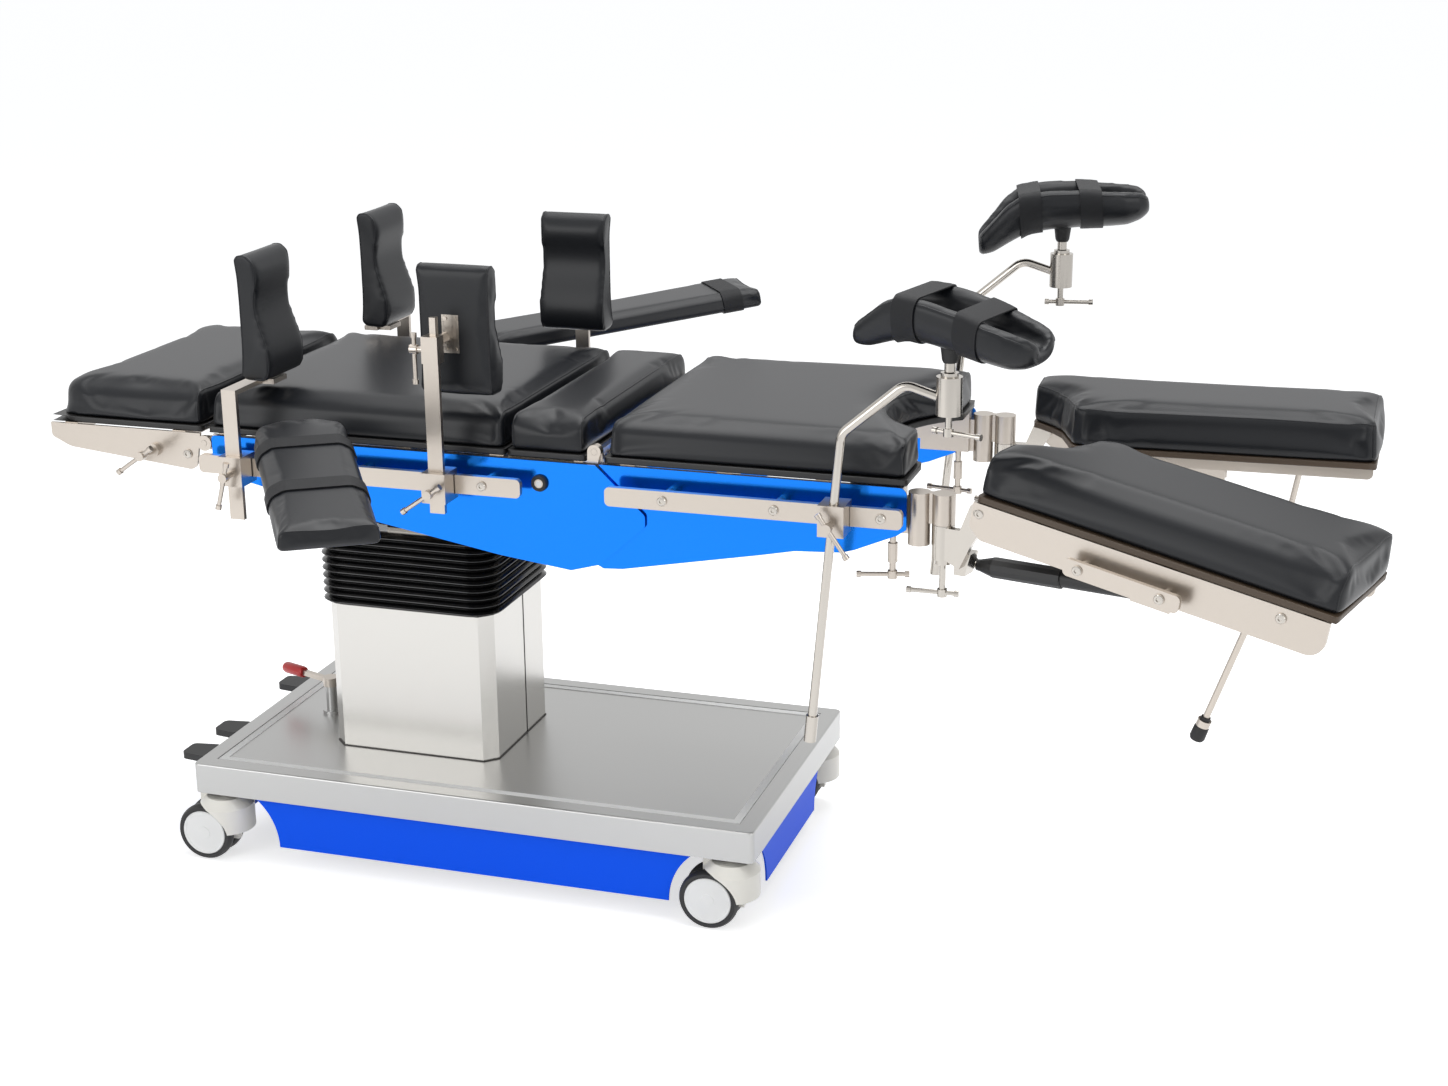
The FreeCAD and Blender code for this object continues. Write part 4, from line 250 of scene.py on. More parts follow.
def ring_faces(rings, count, closed=False):
    """Quads between rings of points, from the last ring back to the first one where closed."""
    faces = []
    for number in range(rings if closed else rings - 1):
        after = (number + 1) % rings
        for i in range(count):
            j = (i + 1) % count
            faces.append((number * count + i, number * count + j, after * count + j, after * count + i))
    return faces


def outward(mesh):
    """The same mesh, merged and with its faces turned outwards."""
    work = bmesh.new()
    work.from_mesh(mesh)
    bmesh.ops.remove_doubles(work, verts=work.verts, dist=1e-6)
    bmesh.ops.recalc_face_normals(work, faces=work.faces)
    work.to_mesh(mesh)
    work.free()
    return mesh


def place_piece(name, mesh, material, body, smooth=True, replaced=()):
    """A finished piece at the origin, riding on its body."""
    mesh.materials.clear()
    mesh.materials.append(material)
    piece = bpy.data.objects.new(name, mesh)
    bpy.context.scene.collection.objects.link(piece)
    if smooth:
        mesh.shade_smooth()
        mesh.set_sharp_from_angle(angle=CREASE)
    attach(piece, body)
    if replaced:
        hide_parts(*replaced)
    return piece


def cushion_piece(name, skin, body, node):
    """A stuffed cushion in place of its CAD pad."""
    pad = place_piece(name, skin, LEATHER, body, replaced=(node,))


def evaluated_mesh(piece):
    """The piece as its modifiers leave it."""
    graph = bpy.context.evaluated_depsgraph_get()
    graph.update()
    return bpy.data.meshes.new_from_object(piece.evaluated_get(graph), depsgraph=graph)


def scratch(mesh):
    """A passing object for modifiers to work on."""
    piece = bpy.data.objects.new("scratch", mesh)
    bpy.context.scene.collection.objects.link(piece)
    return piece


def forget(piece):
    """Removes a passing object and its mesh."""
    mesh = piece.data
    bpy.data.objects.remove(piece)
    if mesh and mesh.users == 0:
        bpy.data.meshes.remove(mesh)


def prism(plan, low, high, corner_radii, top_rolls, bottom_roll):
    """A solid over a plan, with a radius for each upright edge and for the top edge after each corner."""
    count = len(plan)
    points = [(x, y, low) for x, y in plan] + [(x, y, high) for x, y in plan]
    faces = [tuple(reversed(range(count))), tuple(range(count, 2 * count))]
    faces += [(i, (i + 1) % count, count + (i + 1) % count, count + i) for i in range(count)]
    mesh = joined_mesh("prism", points, faces)
    widest = max(list(corner_radii) + list(top_rolls) + [bottom_roll])
    weight = mesh.attributes.new("bevel_weight_edge", "FLOAT", "EDGE")
    for edge in mesh.edges:
        a, b = sorted(edge.vertices)
        if b < count:
            radius = bottom_roll
        elif a >= count:
            first, second = a - count, b - count
            start = second if (first == 0 and second == count - 1) else first
            radius = top_rolls[start]
        else:
            radius = corner_radii[a]
        weight.data[edge.index].value = radius / widest
    piece = scratch(mesh)
    bevel = piece.modifiers.new("Rolls", "BEVEL")
    bevel.limit_method = "WEIGHT"
    bevel.width = widest
    bevel.segments = 6
    bevel.use_clamp_overlap = True
    shaped = evaluated_mesh(piece)
    forget(piece)
    return shaped


def even(mesh, voxel):
    """The same solid in even quads."""
    piece = scratch(mesh)
    remesh = piece.modifiers.new("Even", "REMESH")
    remesh.mode = "VOXEL"
    remesh.voxel_size = voxel
    smooth = piece.modifiers.new("Soft", "SMOOTH")
    smooth.factor = 0.5
    smooth.iterations = 3
    result = evaluated_mesh(piece)
    forget(piece)
    return result


def swell(mesh, cap, floor_level):
    """Stuffs the skin with Cloth under pressure, its underside held flat on the board."""
    scene = bpy.context.scene
    piece = scratch(mesh)
    held = piece.vertex_groups.new(name="held")
    held.add([v.index for v in mesh.vertices if v.co.z < floor_level + HELD_RIM], 1.0, "REPLACE")
    start = [v.co.copy() for v in mesh.vertices]
    cloth = piece.modifiers.new("Skin", "CLOTH")
    settings = cloth.settings
    settings.quality = 4
    settings.mass = 0.35
    settings.tension_stiffness = 25
    settings.compression_stiffness = 25
    settings.shear_stiffness = 10
    settings.bending_stiffness = 2
    settings.use_pressure = True
    settings.uniform_pressure_force = 4.0
    settings.vertex_group_mass = "held"
    settings.effector_weights.gravity = 0.0
    cloth.point_cache.frame_start = 1
    cloth.point_cache.frame_end = CLOTH_FRAMES
    for step in range(1, CLOTH_FRAMES + 1):
        scene.frame_set(step)
    graph = bpy.context.evaluated_depsgraph_get()
    swollen = [v.co.copy() for v in piece.evaluated_get(graph).data.vertices]
    piece.modifiers.remove(cloth)
    scene.frame_set(1)
    result = mesh.copy()
    for vertex, before, after in zip(result.vertices, start, swollen):
        move = after - before
        length = move.length
        if length > 1e-7:
            move *= cap * math.tanh(length / cap) / length
        vertex.co = before + move
    forget(piece)
    return result


def swell_round(mesh, cap):
    """Swells a free-standing cushion, with nothing held."""
    return swell(mesh, cap, -1.0)


def finer(mesh):
    """The same skin, subdivided once."""
    piece = scratch(mesh)
    subdivision = piece.modifiers.new("Finer", "SUBSURF")
    subdivision.levels = 1
    subdivision.render_levels = 1
    result = evaluated_mesh(piece)
    forget(piece)
    return result


def stuffed(plan, low, high, corner_radii, top_rolls, bottom_roll=0.008, voxel=VOXEL, cap=SWELL):
    """A cushion skin over a plan, shaped a little small and then swollen."""
    shape = prism(plan, low, high - cap * SHY_SHARE, corner_radii, top_rolls, bottom_roll)
    return finer(swell(even(shape, voxel), cap, low))


def piping(name, path, skin, body, closed=False):
    """A welt along a path, laid on the nearest skin."""
    tree = BVHTree.FromPolygons([v.co for v in skin.vertices], [tuple(p.vertices) for p in skin.polygons])
    curve = bpy.data.curves.new(name, "CURVE")
    curve.dimensions = "3D"
    curve.bevel_depth = PIPING
    curve.bevel_resolution = 2
    spline = curve.splines.new("POLY")
    laid = []
    for point in path:
        place, normal, _, _ = tree.find_nearest(Vector(point))
        laid.append(place - normal * PIPING_SUNK)
    spline.points.add(len(laid) - 1)
    for knot, place in zip(spline.points, laid):
        knot.co = (*place, 1.0)
    spline.use_cyclic_u = closed
    holder = bpy.data.objects.new(name, curve)
    bpy.context.scene.collection.objects.link(holder)
    mesh = evaluated_mesh(holder)
    bpy.data.objects.remove(holder)
    return place_piece(name, mesh, LEATHER, body)


def stepped(points, step=0.006):
    """The same path with points at an even spacing."""
    path = []
    for a, b in zip(points, points[1:]):
        a, b = Vector(a), Vector(b)
        parts = max(1, round((b - a).length / step))
        path += [a.lerp(b, i / parts) for i in range(parts)]
    return path + [Vector(points[-1])]


def hull(points):
    """The convex outline of flat points, counter-clockwise."""
    ordered = sorted(set((round(a, 5), round(b, 5)) for a, b in points))

    def half(run):
        chain = []
        for point in run:
            while len(chain) > 1:
                (ax, ay), (bx, by) = chain[-2], chain[-1]
                if (bx - ax) * (point[1] - ay) - (by - ay) * (point[0] - ax) > 0:
                    break
                chain.pop()
            chain.append(point)
        return chain[:-1]
    return half(ordered) + half(ordered[::-1])


def sampled(ring, count):
    """A convex outline as even points from its underside on, each with its outward way."""
    mid = (min(a for a, b in ring) + max(a for a, b in ring)) / 2
    path = ring + ring[:1]
    for number, ((a, b), (c, d)) in enumerate(zip(ring, ring[1:] + ring[:1])):
        if a <= mid < c:
            start = (mid, b + (d - b) * (mid - a) / (c - a))
            path = [start] + ring[number + 1:] + ring[:number + 1] + [start]
            break
    legs = [math.dist(p, q) for p, q in zip(path, path[1:])]
    points, ways = [], []
    for step in range(count):
        left, number = sum(legs) * step / count, 0
        while number < len(legs) - 1 and left > legs[number]:
            left -= legs[number]
            number += 1
        (a, b), (c, d), size = path[number], path[number + 1], legs[number] or 1.0
        points.append((a + (c - a) * left / size, b + (d - b) * left / size))
        ways.append(Vector(((d - b) / size, (a - c) / size)))
    result = []
    for i, (a, b) in enumerate(points):
        way = sum((ways[(i + k) % count] for k in (-2, -1, 0, 1, 2)), Vector((0, 0))).normalized()
        result.append((a, b, way.x, way.y))
    return result


def webbing(loops, inner, outer):
    """A closed band of webbing through outlines, with its inner and outer skins."""
    count = len(loops[0][1])
    skins = [[(a, y + cy * inner, z + cz * inner) for y, z, cy, cz in loop] for a, loop in loops]
    skins += [[(a, y + cy * outer, z + cz * outer) for y, z, cy, cz in loop] for a, loop in reversed(loops)]
    points = [point for skin in skins for point in skin]
    return outward(joined_mesh("band", points, ring_faces(len(skins), count, closed=True)))


def strap_round(local, middle, width, floor=-1.0):
    """A webbing band, taut round a cushion's own sections."""
    loops = []
    for step in (-2, -1, 0, 1, 2):
        a = middle + width * step / 4
        near = [(p.y, p.z) for p in local if abs(p.x - a) < STRAP_SECTION and p.z > floor]
        loops.append((a, sampled(hull(near), STRAP_POINTS)))
    return webbing(loops, STRAP_INNER, STRAP_OUTER)


def revolved(profile, place, steps=40):
    """A closed turned piece: profile points are (radius, height) along local Z."""
    points, faces = [], []
    count = len(profile)
    for step in range(steps):
        angle = 2 * math.pi * step / steps
        points += [(r * math.cos(angle), r * math.sin(angle), z) for r, z in profile]
    for step in range(steps):
        after = (step + 1) % steps
        for i in range(count - 1):
            faces.append((step * count + i, after * count + i, after * count + i + 1, step * count + i + 1))
        if profile[0][0] > 0:
            faces.append((step * count + count - 1, after * count + count - 1, after * count, step * count))
    mesh = outward(joined_mesh("turned", points, faces))
    mesh.transform(place)
    return mesh


def along(start, aim):
    """A frame at a point with its Z axis along a direction."""
    return Matrix.Translation(start) @ Vector(aim).to_track_quat("Z", "Y").to_matrix().to_4x4()


def slim_box(low, high):
    """A plain box between two corners."""
    (x0, y0, z0), (x1, y1, z1) = low, high
    points = [(x, y, z) for z in (z0, z1) for x, y in ((x0, y0), (x1, y0), (x1, y1), (x0, y1))]
    faces = [(3, 2, 1, 0), (4, 5, 6, 7), (0, 1, 5, 4), (1, 2, 6, 5), (2, 3, 7, 6), (3, 0, 4, 7)]
    return joined_mesh("slim", points, faces)


def slim_frame(x0, x1, y0, y1, wide, z0, z1, crop):
    """A flat frame inside a rectangle with cropped corners."""
    def loop(shrink):
        a0, a1, b0, b1 = x0 + shrink, x1 - shrink, y0 + shrink, y1 - shrink
        c = max(crop - shrink * 0.4, 0.0002)
        return [(a0 + c, b0), (a1 - c, b0), (a1, b0 + c), (a1, b1 - c),
                (a1 - c, b1), (a0 + c, b1), (a0, b1 - c), (a0, b0 + c)]
    rings = [(loop(0), z0), (loop(0), z1), (loop(wide), z1), (loop(wide), z0)]
    points = [(x, y, z) for ring, z in rings for x, y in ring]
    return outward(joined_mesh("frame", points, ring_faces(len(rings), 8, closed=True)))


def board(name, plan, radii, level, body):
    """The thin board under a cushion."""
    mesh = prism(plan, level, level + BOARD + 0.001, radii, [BOARD_EDGE] * len(plan), BOARD_EDGE)
    return place_piece(name, mesh, BOARD_BLACK, body, smooth=False)


def box_cushion(node, body, end_seams, head_corner=None):
    """A section cushion with rolled long sides and crisp sewn ends, on its thin board."""
    low, high = (Vector(corner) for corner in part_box(node))
    inset = SWELL * SHY_SHARE
    x0, x1, y0, y1 = low.x + inset, high.x - inset, low.y + inset, high.y - inset
    plan = [(x0, y0), (x1, y0), (x1, y1), (x0, y1)]
    left = head_corner or CORNER
    radii = [left, CORNER, CORNER, left]
    rolls = [ROLL, CRISP, ROLL, ROLL if head_corner else CRISP]
    skin = stuffed(plan, low.z + BOARD, high.z, radii, rolls)
    cushion_piece(f"{node}_cushion", skin, body, node)
    a0, a1, b0, b1 = low.x + LEDGE, high.x - LEDGE, low.y + LEDGE, high.y - LEDGE
    board(f"{node}_board", [(a0, b0), (a1, b0), (a1, b1), (a0, b1)], radii, low.z, body)
    foot = low.z + BOARD + WELT_FOOT
    turn = [(ROLL * (1 - math.cos(a)), high.z - ROLL * (1 - math.sin(a))) for a in (0.4, 0.8, 1.2)]
    for number, end in enumerate(end_seams):
        x = x0 + WELT_INSET if end < 0 else x1 - WELT_INSET
        path = [(x, y0, foot), (x, y0, high.z - ROLL)]
        path += [(x, y0 + across, z) for across, z in turn]
        path += [(x, y1 - across, z) for across, z in reversed(turn)]
        path += [(x, y1, high.z - ROLL), (x, y1, foot)]
        piping(f"{node}_welt_{number + 1}", stepped(path), skin, body)


def seat_cushion():
    """The seat cushion with its round cut-out at the foot end."""
    low, high = (Vector(corner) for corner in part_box("seat_pad"))
    inset = SWELL * SHY_SHARE
    x0, x1, y0, y1 = low.x + inset, high.x - inset, low.y + inset, high.y - inset
    radius = SEAT_CUT_RADIUS + inset
    middle = high.x - SEAT_CUT_DEPTH + SEAT_CUT_RADIUS
    reach = math.acos((middle - x1) / radius)
    angles = [-reach + 2 * reach * i / SEAT_CUT_STEPS for i in range(SEAT_CUT_STEPS + 1)]
    arc = [(middle - radius * math.cos(a), radius * math.sin(a)) for a in angles]
    plan = [(x0, y0), (x1, y0)] + arc + [(x1, y1), (x0, y1)]
    radii = [0.010, 0.014, 0.012] + [0] * (len(arc) - 2) + [0.012, 0.014, 0.010]
    rolls = [ROLL] + [CRISP] * (len(arc) + 1) + [ROLL, CRISP]
    skin = stuffed(plan, low.z + BOARD, high.z, radii, rolls)
    cushion_piece("seat_pad_cushion", skin, "seat", "seat_pad")
    grow = inset - LEDGE
    ends = [(x + (grow if x == x1 else -grow), y + (grow if y > 0 else -grow))
            for x, y in plan[:2] + plan[-2:]]
    wide = ends[:2] + [(x + grow, y) for x, y in arc] + ends[2:]
    board("seat_pad_board", wide, radii, low.z, "seat")
    lip = [(x, y, high.z - 0.002) for x, y in plan[1:-1]]
    piping("seat_cut_welt", stepped(lip), skin, "seat")
    foot, shoulder = low.z + BOARD + WELT_FOOT, high.z - ROLL
    x = x0 + WELT_INSET
    path = [(x, y0, foot), (x, y0, shoulder), (x, y0 + ROLL, high.z),
            (x, y1 - ROLL, high.z), (x, y1, shoulder), (x, y1, foot)]
    piping("seat_head_welt", stepped(path), skin, "seat")
    x = x1 - 0.003
    for name, y in (("near", y0), ("far", y1)):
        path = [(x, y, foot), (x, y, shoulder), (x, y * 0.92, high.z)]
        piping(f"seat_corner_welt_{name}", stepped(path), skin, "seat")


def main_cushions():
    """The four cushions along the top."""
    box_cushion("head_pad", "head", (1,), head_corner=0.06)
    box_cushion("back_pad", "back", (-1, 1))
    box_cushion("kidney_pad", "kidney", (-1, 1))
    seat_cushion()


def leg_place(name):
    """A leg plate's own frame: X along it from the pitch hinge, Z up."""
    joint = JOINT[f"leg_pitch_{name}"]
    yaw = math.atan2(-joint["axis"][0], joint["axis"][1])
    turn = Matrix.Rotation(yaw, 4, "Z") @ Matrix.Rotation(LEG_DIP[name], 4, "Y")
    return Matrix.Translation(joint["pos_m"]) @ turn


def leg_cushions():
    """Leg cushions in their own tilted frames, rolled along the outer side and sewn crisp elsewhere."""
    edge = LEG_SIDE - LEG_INSET
    low, high = PAD_LOW - LEG_HINGE_Z, PAD_TOP - LEG_HINGE_Z
    for name, side in SIDES.items():
        place = leg_place(name)
        plan = [(a, side * (edge - b)) for a, b in LEG_OUTLINE]
        rolls = [LEG_ROLL] + [CRISP] * (len(plan) - 1)
        radii = LEG_CORNERS
        if side > 0:
            plan = plan[::-1]
            radii = radii[::-1]
            rolls = [rolls[(len(plan) - 2 - i) % len(plan)] for i in range(len(plan))]
        skin = stuffed(plan, low + BOARD - 0.008, high, radii, rolls)
        skin.transform(place)
        cushion_piece(f"leg_cushion_{name}", skin, f"leg_{name}", f"leg_pad_{name}")
        flush = [(a, b + side * (0.0045 if abs(b - side * edge) < 1e-6 else 0.0)) for a, b in plan]
        base = prism(flush, low - 0.008, low + BOARD - 0.007, radii, [BOARD_EDGE] * len(plan), BOARD_EDGE)
        base.transform(place)
        place_piece(f"leg_board_{name}", base, BROWN_EDGE, f"leg_{name}", smooth=False)
        medial = [(a, side * (edge - b + 0.002), high - 0.002) for a, b in LEG_OUTLINE[2:]]
        piping(f"leg_welt_{name}", [place @ Vector(point) for point in stepped(medial)], skin, f"leg_{name}")
        ends = ((LEG_START + 0.003, LEG_WIDE - 0.14), (LEG_END - 0.005, LEG_WIDE))
        for number, (a, reach) in enumerate(ends):
            path = [(a, side * edge, low + BOARD), (a, side * edge, high - LEG_ROLL),
                    (a, side * (edge - 0.012), high - 0.010), (a, side * (edge - LEG_ROLL), high),
                    (a, side * (edge - reach), high)]
            if number:
                path.append((a, side * (edge - reach), low + BOARD))
            path = [place @ Vector(point) for point in stepped(path)]
            piping(f"leg_end_welt_{name}_{number + 1}", path, skin, f"leg_{name}")


def arm_cushions():
    """Arm boards: flat cushions with cropped inner corners, tied with webbing straps."""
    inset = 0.003
    b1 = ARM_HALF - inset
    for name in SIDES:
        body = f"arm_{name}"
        stem = Vector(JOINT[f"arm_turn_{name}"]["pos_m"])
        turn = Matrix.Rotation(math.radians(ARM_TURN[name]), 4, "Z")
        tilt = Matrix.Rotation(math.radians(ARM_TILT[name]), 4, "Y")
        place = Matrix.Translation((stem.x, stem.y, 0)) @ turn
        place = place @ Matrix.Translation((0, 0, ARM_TOP)) @ tilt
        a0, a1 = -ARM_BACK + inset, ARM_LENGTH[name] - ARM_BACK - inset
        plan = [(a0, -b1 + 0.046), (a0 + 0.026, -b1), (a1, -b1), (a1, b1), (a0 + 0.026, b1), (a0, b1 - 0.046)]
        radii = [0.02, 0.03, 0.008, 0.008, 0.03, 0.02]
        rolls = [0.010, 0.012, 0.005, 0.012, 0.010, 0.010]
        skin = stuffed(plan, -ARM_THICK, 0, radii, rolls, 0.006, 0.004, 0.004)
        local = [vertex.co.copy() for vertex in skin.vertices]
        skin.transform(place)
        cushion_piece(f"arm_cushion_{name}", skin, body, f"arm_board_{name}")
        hub_top = -ARM_THICK + 0.006
        hub = revolved([(0.0, -0.050), (0.018, -0.050), (0.018, hub_top), (0.0, hub_top)],
                       Matrix.Translation((stem.x, stem.y, ARM_TOP)))
        place_piece(f"arm_hub_{name}", hub, BOARD_BLACK, body)
        a, foot = a1 - 0.002, -ARM_THICK + 0.008
        path = [(a, -b1, foot), (a, -b1, -0.006), (a, -b1 + 0.008, 0),
                (a, b1 - 0.008, 0), (a, b1, -0.006), (a, b1, foot)]
        piping(f"arm_welt_{name}", [place @ Vector(point) for point in stepped(path)], skin, body)
        for number, a in enumerate(ARM_STRAPS[name]):
            band = strap_round(local, a, ARM_STRAP_WIDE)
            band.transform(place)
            place_piece(f"arm_strap_{name}_{number + 1}", band, STRAP, body)


def merged_copy(node):
    """A copy of a CAD node's mesh with its loose triangles merged."""
    mesh = NODE[node].data.copy()
    work = bmesh.new()
    work.from_mesh(mesh)
    bmesh.ops.remove_doubles(work, verts=work.verts, dist=1e-5)
    work.to_mesh(mesh)
    work.free()
    return mesh


def contour_path(kind, side, way, low, high):
    """The waved outline on one cheek of an upright support."""
    path = []
    for deep, rise in CONTOUR:
        z = low.z + CONTOUR_TALL * rise
        if kind == "shoulder":
            path.append((low.x + CONTOUR_DEPTH * deep, (low.y + high.y) / 2 + way * CONTOUR_HALF, z))
        else:
            front = high.y - CONTOUR_DEPTH * deep if side > 0 else low.y + CONTOUR_DEPTH * deep
            path.append(((low.x + high.x) / 2 + way * CONTOUR_HALF, front, z))
    return stepped(path, 0.004)


def contoured_cushions():
    """Shoulder and body supports: upright cushions with a waved front."""
    for kind in ("shoulder", "support"):
        for name, side in SIDES.items():
            node = f"{kind}_pad_{name}"
            body = f"{kind}_{name}"
            skin = finer(swell_round(even(merged_copy(node), FINE_VOXEL), SMALL_SWELL))
            cushion_piece(f"{node}_cushion", skin, body, node)
            low, high = (Vector(corner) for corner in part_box(node))
            for number, way in enumerate((-1, 1)):
                path = contour_path(kind, side, way, low, high)
                piping(f"{node}_welt_{number + 1}", path, skin, body, closed=True)


def cradle_place(name):
    """A knee crutch's own frame, its cushion standing on Z = 0."""
    turn = math.radians(CRADLE_TURN[name])
    dip = math.radians(CRADLE_DIP[name])
    place = Matrix.Translation(Vector(JOINT[f"cradle_turn_{name}"]["pos_m"]) + Vector((0, 0, CRADLE_RISE)))
    return place @ Matrix.Rotation(turn, 4, "Z") @ Matrix.Rotation(dip, 4, "Y")


def saddle_ring(station, half, low, tall):
    """One section of the saddle: outer curve, rounded lips and the hollow."""
    thick = min(0.024, half * 0.62)
    level = low + tall - thick / 2
    deep = max(level - low, 0.004)
    inner, hollow = half - thick, max(deep - thick * 0.85, 0.0015)
    ring = []

    def lip(middle):
        for step in range(1, 4):
            angle = math.pi * step / 4
            ring.append((station, middle + thick / 2 * math.cos(angle), level + thick / 2 * math.sin(angle)))

    for step in range(19):
        angle = math.pi + math.pi * step / 18
        across, down = math.cos(angle), math.sin(angle)
        y = half * math.copysign(abs(across) ** 0.72, across)
        ring.append((station, y, level - deep * abs(down) ** 0.82))
    lip(half - thick / 2)
    for step in range(13):
        angle = math.pi * step / 12
        across, down = math.cos(angle), math.sin(angle)
        y = inner * math.copysign(abs(across) ** 0.8, across)
        ring.append((station, y, level - hollow * down ** 0.9))
    lip(-half + thick / 2)
    return ring


def cradle_cushions():
    """Knee crutches: a hollow saddle with a drooping tip, on a black cone and a steel stem."""
    rings = [saddle_ring(*station) for station in SADDLE]
    count = len(rings[0])
    points = [point for ring in rings for point in ring]
    faces = [tuple(range(count)), tuple(reversed(range(len(points) - count, len(points))))]
    faces += ring_faces(len(rings), count)
    for name in SIDES:
        body = f"cradle_{name}"
        place = cradle_place(name)
        shape = outward(joined_mesh("saddle", points, faces))
        skin = finer(swell_round(even(shape, FINE_VOXEL), SMALL_SWELL))
        skin.transform(place)
        cushion_piece(f"leg_cradle_{name}_cushion", skin, body, f"leg_cradle_{name}")
        for number, way in enumerate((-1, 1)):
            lip = [(a, way * (half - 0.004), low + tall - 0.010) for a, half, low, tall in SADDLE[1:-1]]
            path = [place @ Vector(point) for point in stepped(lip)]
            piping(f"cradle_welt_{name}_{number + 1}", path, skin, body)
        foot = Matrix.Translation(JOINT[f"cradle_turn_{name}"]["pos_m"])
        cone = revolved([(0.0, 0.048), (0.0095, 0.048), (0.0115, 0.052), (0.0150, 0.078), (0.0, 0.078)], foot)
        place_piece(f"cradle_cone_{name}", cone, DARK, body)
        stem = revolved([(0.0, 0.006), (0.0078, 0.006), (0.0078, 0.030), (0.0090, 0.031), (0.0090, 0.034),
                         (0.0078, 0.035), (0.0078, 0.049), (0.0, 0.049)], foot)
        place_piece(f"cradle_stem_{name}", stem, POLISHED, body)


def cradle_straps():
    """Two wide straps round each knee crutch, taut across its hollow."""
    for name in SIDES:
        place = cradle_place(name)
        back = place.inverted()
        mesh = bpy.data.objects[f"leg_cradle_{name}_cushion"].data
        local = [back @ v.co for v in mesh.vertices]
        for number, middle in enumerate(CRADLE_STRAPS):
            band = strap_round(local, middle, CRADLE_STRAP_WIDE, CRADLE_STRAP_FLOOR)
            band.transform(place)
            place_piece(f"cradle_strap_{name}_{number + 1}", band, STRAP, f"cradle_{name}")


def castor_wheels():
    """Twin wheels with rubber tyres and pale discs."""
    half = WHEEL_WIDE / 2
    tyre_profile = [(0.038, -half), (0.046, -half), (0.0495, -half * 0.5), (0.050, 0), (0.0495, half * 0.5),
                    (0.0465, half), (0.0405, half), (0.039, half - 0.0025), (0.038, half - 0.0025)]
    disc_profile = [(0.0, -half + 0.001), (0.038, -half + 0.001), (0.0395, half - 0.004),
                    (0.0395, half - 0.001), (0.0385, half), (0.0345, half), (0.034, half - 0.0006),
                    (0.0115, half - 0.0002), (0.011, half + 0.0006), (0.0, half + 0.001)]
    for node in [name for name in NODE if name.startswith("castor_wheel")]:
        low, high = (Vector(corner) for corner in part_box(node))
        middle = (low + high) / 2
        body = node.replace("castor_wheel", "wheels")
        tyres, discs = bmesh.new(), bmesh.new()
        for way in (-1, 1):
            seat = Matrix.Translation(middle + Vector((0, way * (WHEEL_GAP + WHEEL_WIDE) / 2, 0)))
            place = seat @ Matrix.Rotation(math.radians(-90 * way), 4, "X")
            tyres.from_mesh(revolved(tyre_profile, place, 64))
            discs.from_mesh(revolved(disc_profile, place, 56))
        for word, work, material in (("tyres", tyres, TYRE), ("discs", discs, DISC)):
            mesh = bpy.data.meshes.new(word)
            work.to_mesh(mesh)
            work.free()
            place_piece(f"{body}_{word}", mesh, material, body, replaced=(node,))


def rounded_ring(half_x, half_y, corner, steps=7):
    """Points round a rectangle with rounded corners."""
    ring = []
    for number, (x, y) in enumerate(((1, -1), (1, 1), (-1, 1), (-1, -1))):
        for step in range(steps):
            angle = math.radians(-90 + 90 * number + 90 * step / (steps - 1))
            across = x * (half_x - corner) + corner * math.cos(angle)
            ring.append((across, y * (half_y - corner) + corner * math.sin(angle)))
    return ring


def bellows_folds():
    """Glossy stacked folds that stretch between the column and the tilting head."""
    low, high = (Vector(corner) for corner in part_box("bellows"))
    middle = (low + high) / 2
    half = (high - low) / 2
    folds, steps, depth, corner = 10, 10, 0.014, 0.046
    inner = rounded_ring(0.068, 0.083, 0.01)
    rings = [[(x, y, low.z) for x, y in inner]]
    for step in range(folds * steps + 1):
        phase = (step % steps) / steps
        bulge = math.sin(math.pi * phase) ** 0.55 if phase else 0.0
        lip = 0.0016 if step % steps == steps // 2 else 0.0
        level = low.z + (high.z - low.z) * step / (folds * steps)
        shrink = depth * (1 - bulge) - lip
        outline = rounded_ring(half.x - shrink, half.y - shrink, corner - shrink * 0.5)
        rings.append([(x, y, level) for x, y in outline])
    rings.append([(x, y, level) for x, y in inner])
    points = [(middle.x + x, middle.y + y, z) for ring in rings for x, y, z in ring]
    mesh = outward(joined_mesh("folds", points, ring_faces(len(rings), len(inner), closed=True)))
    mesh.materials.append(RUBBER)
    mesh.shade_smooth()
    piece = bpy.data.objects.new("bellows_folds", mesh)
    bpy.context.scene.collection.objects.link(piece)
    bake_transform(piece)
    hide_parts("bellows")


def lever_grip():
    """The red grip on the hand lever."""
    pivot = Vector(JOINT["pump_lever_turn"]["pos_m"])
    turn = math.radians(160)
    way = Vector((math.cos(turn), math.sin(turn), 0))
    grip = revolved([(0.0095, 0.070), (0.0105, 0.073), (0.0105, 0.114), (0.0085, 0.1195), (0.0, 0.1205),
                     (0.0, 0.070)], along(pivot + Vector((0, 0, 0.0085)), way))
    place_piece("lever_grip", grip, RED, "pump_lever")


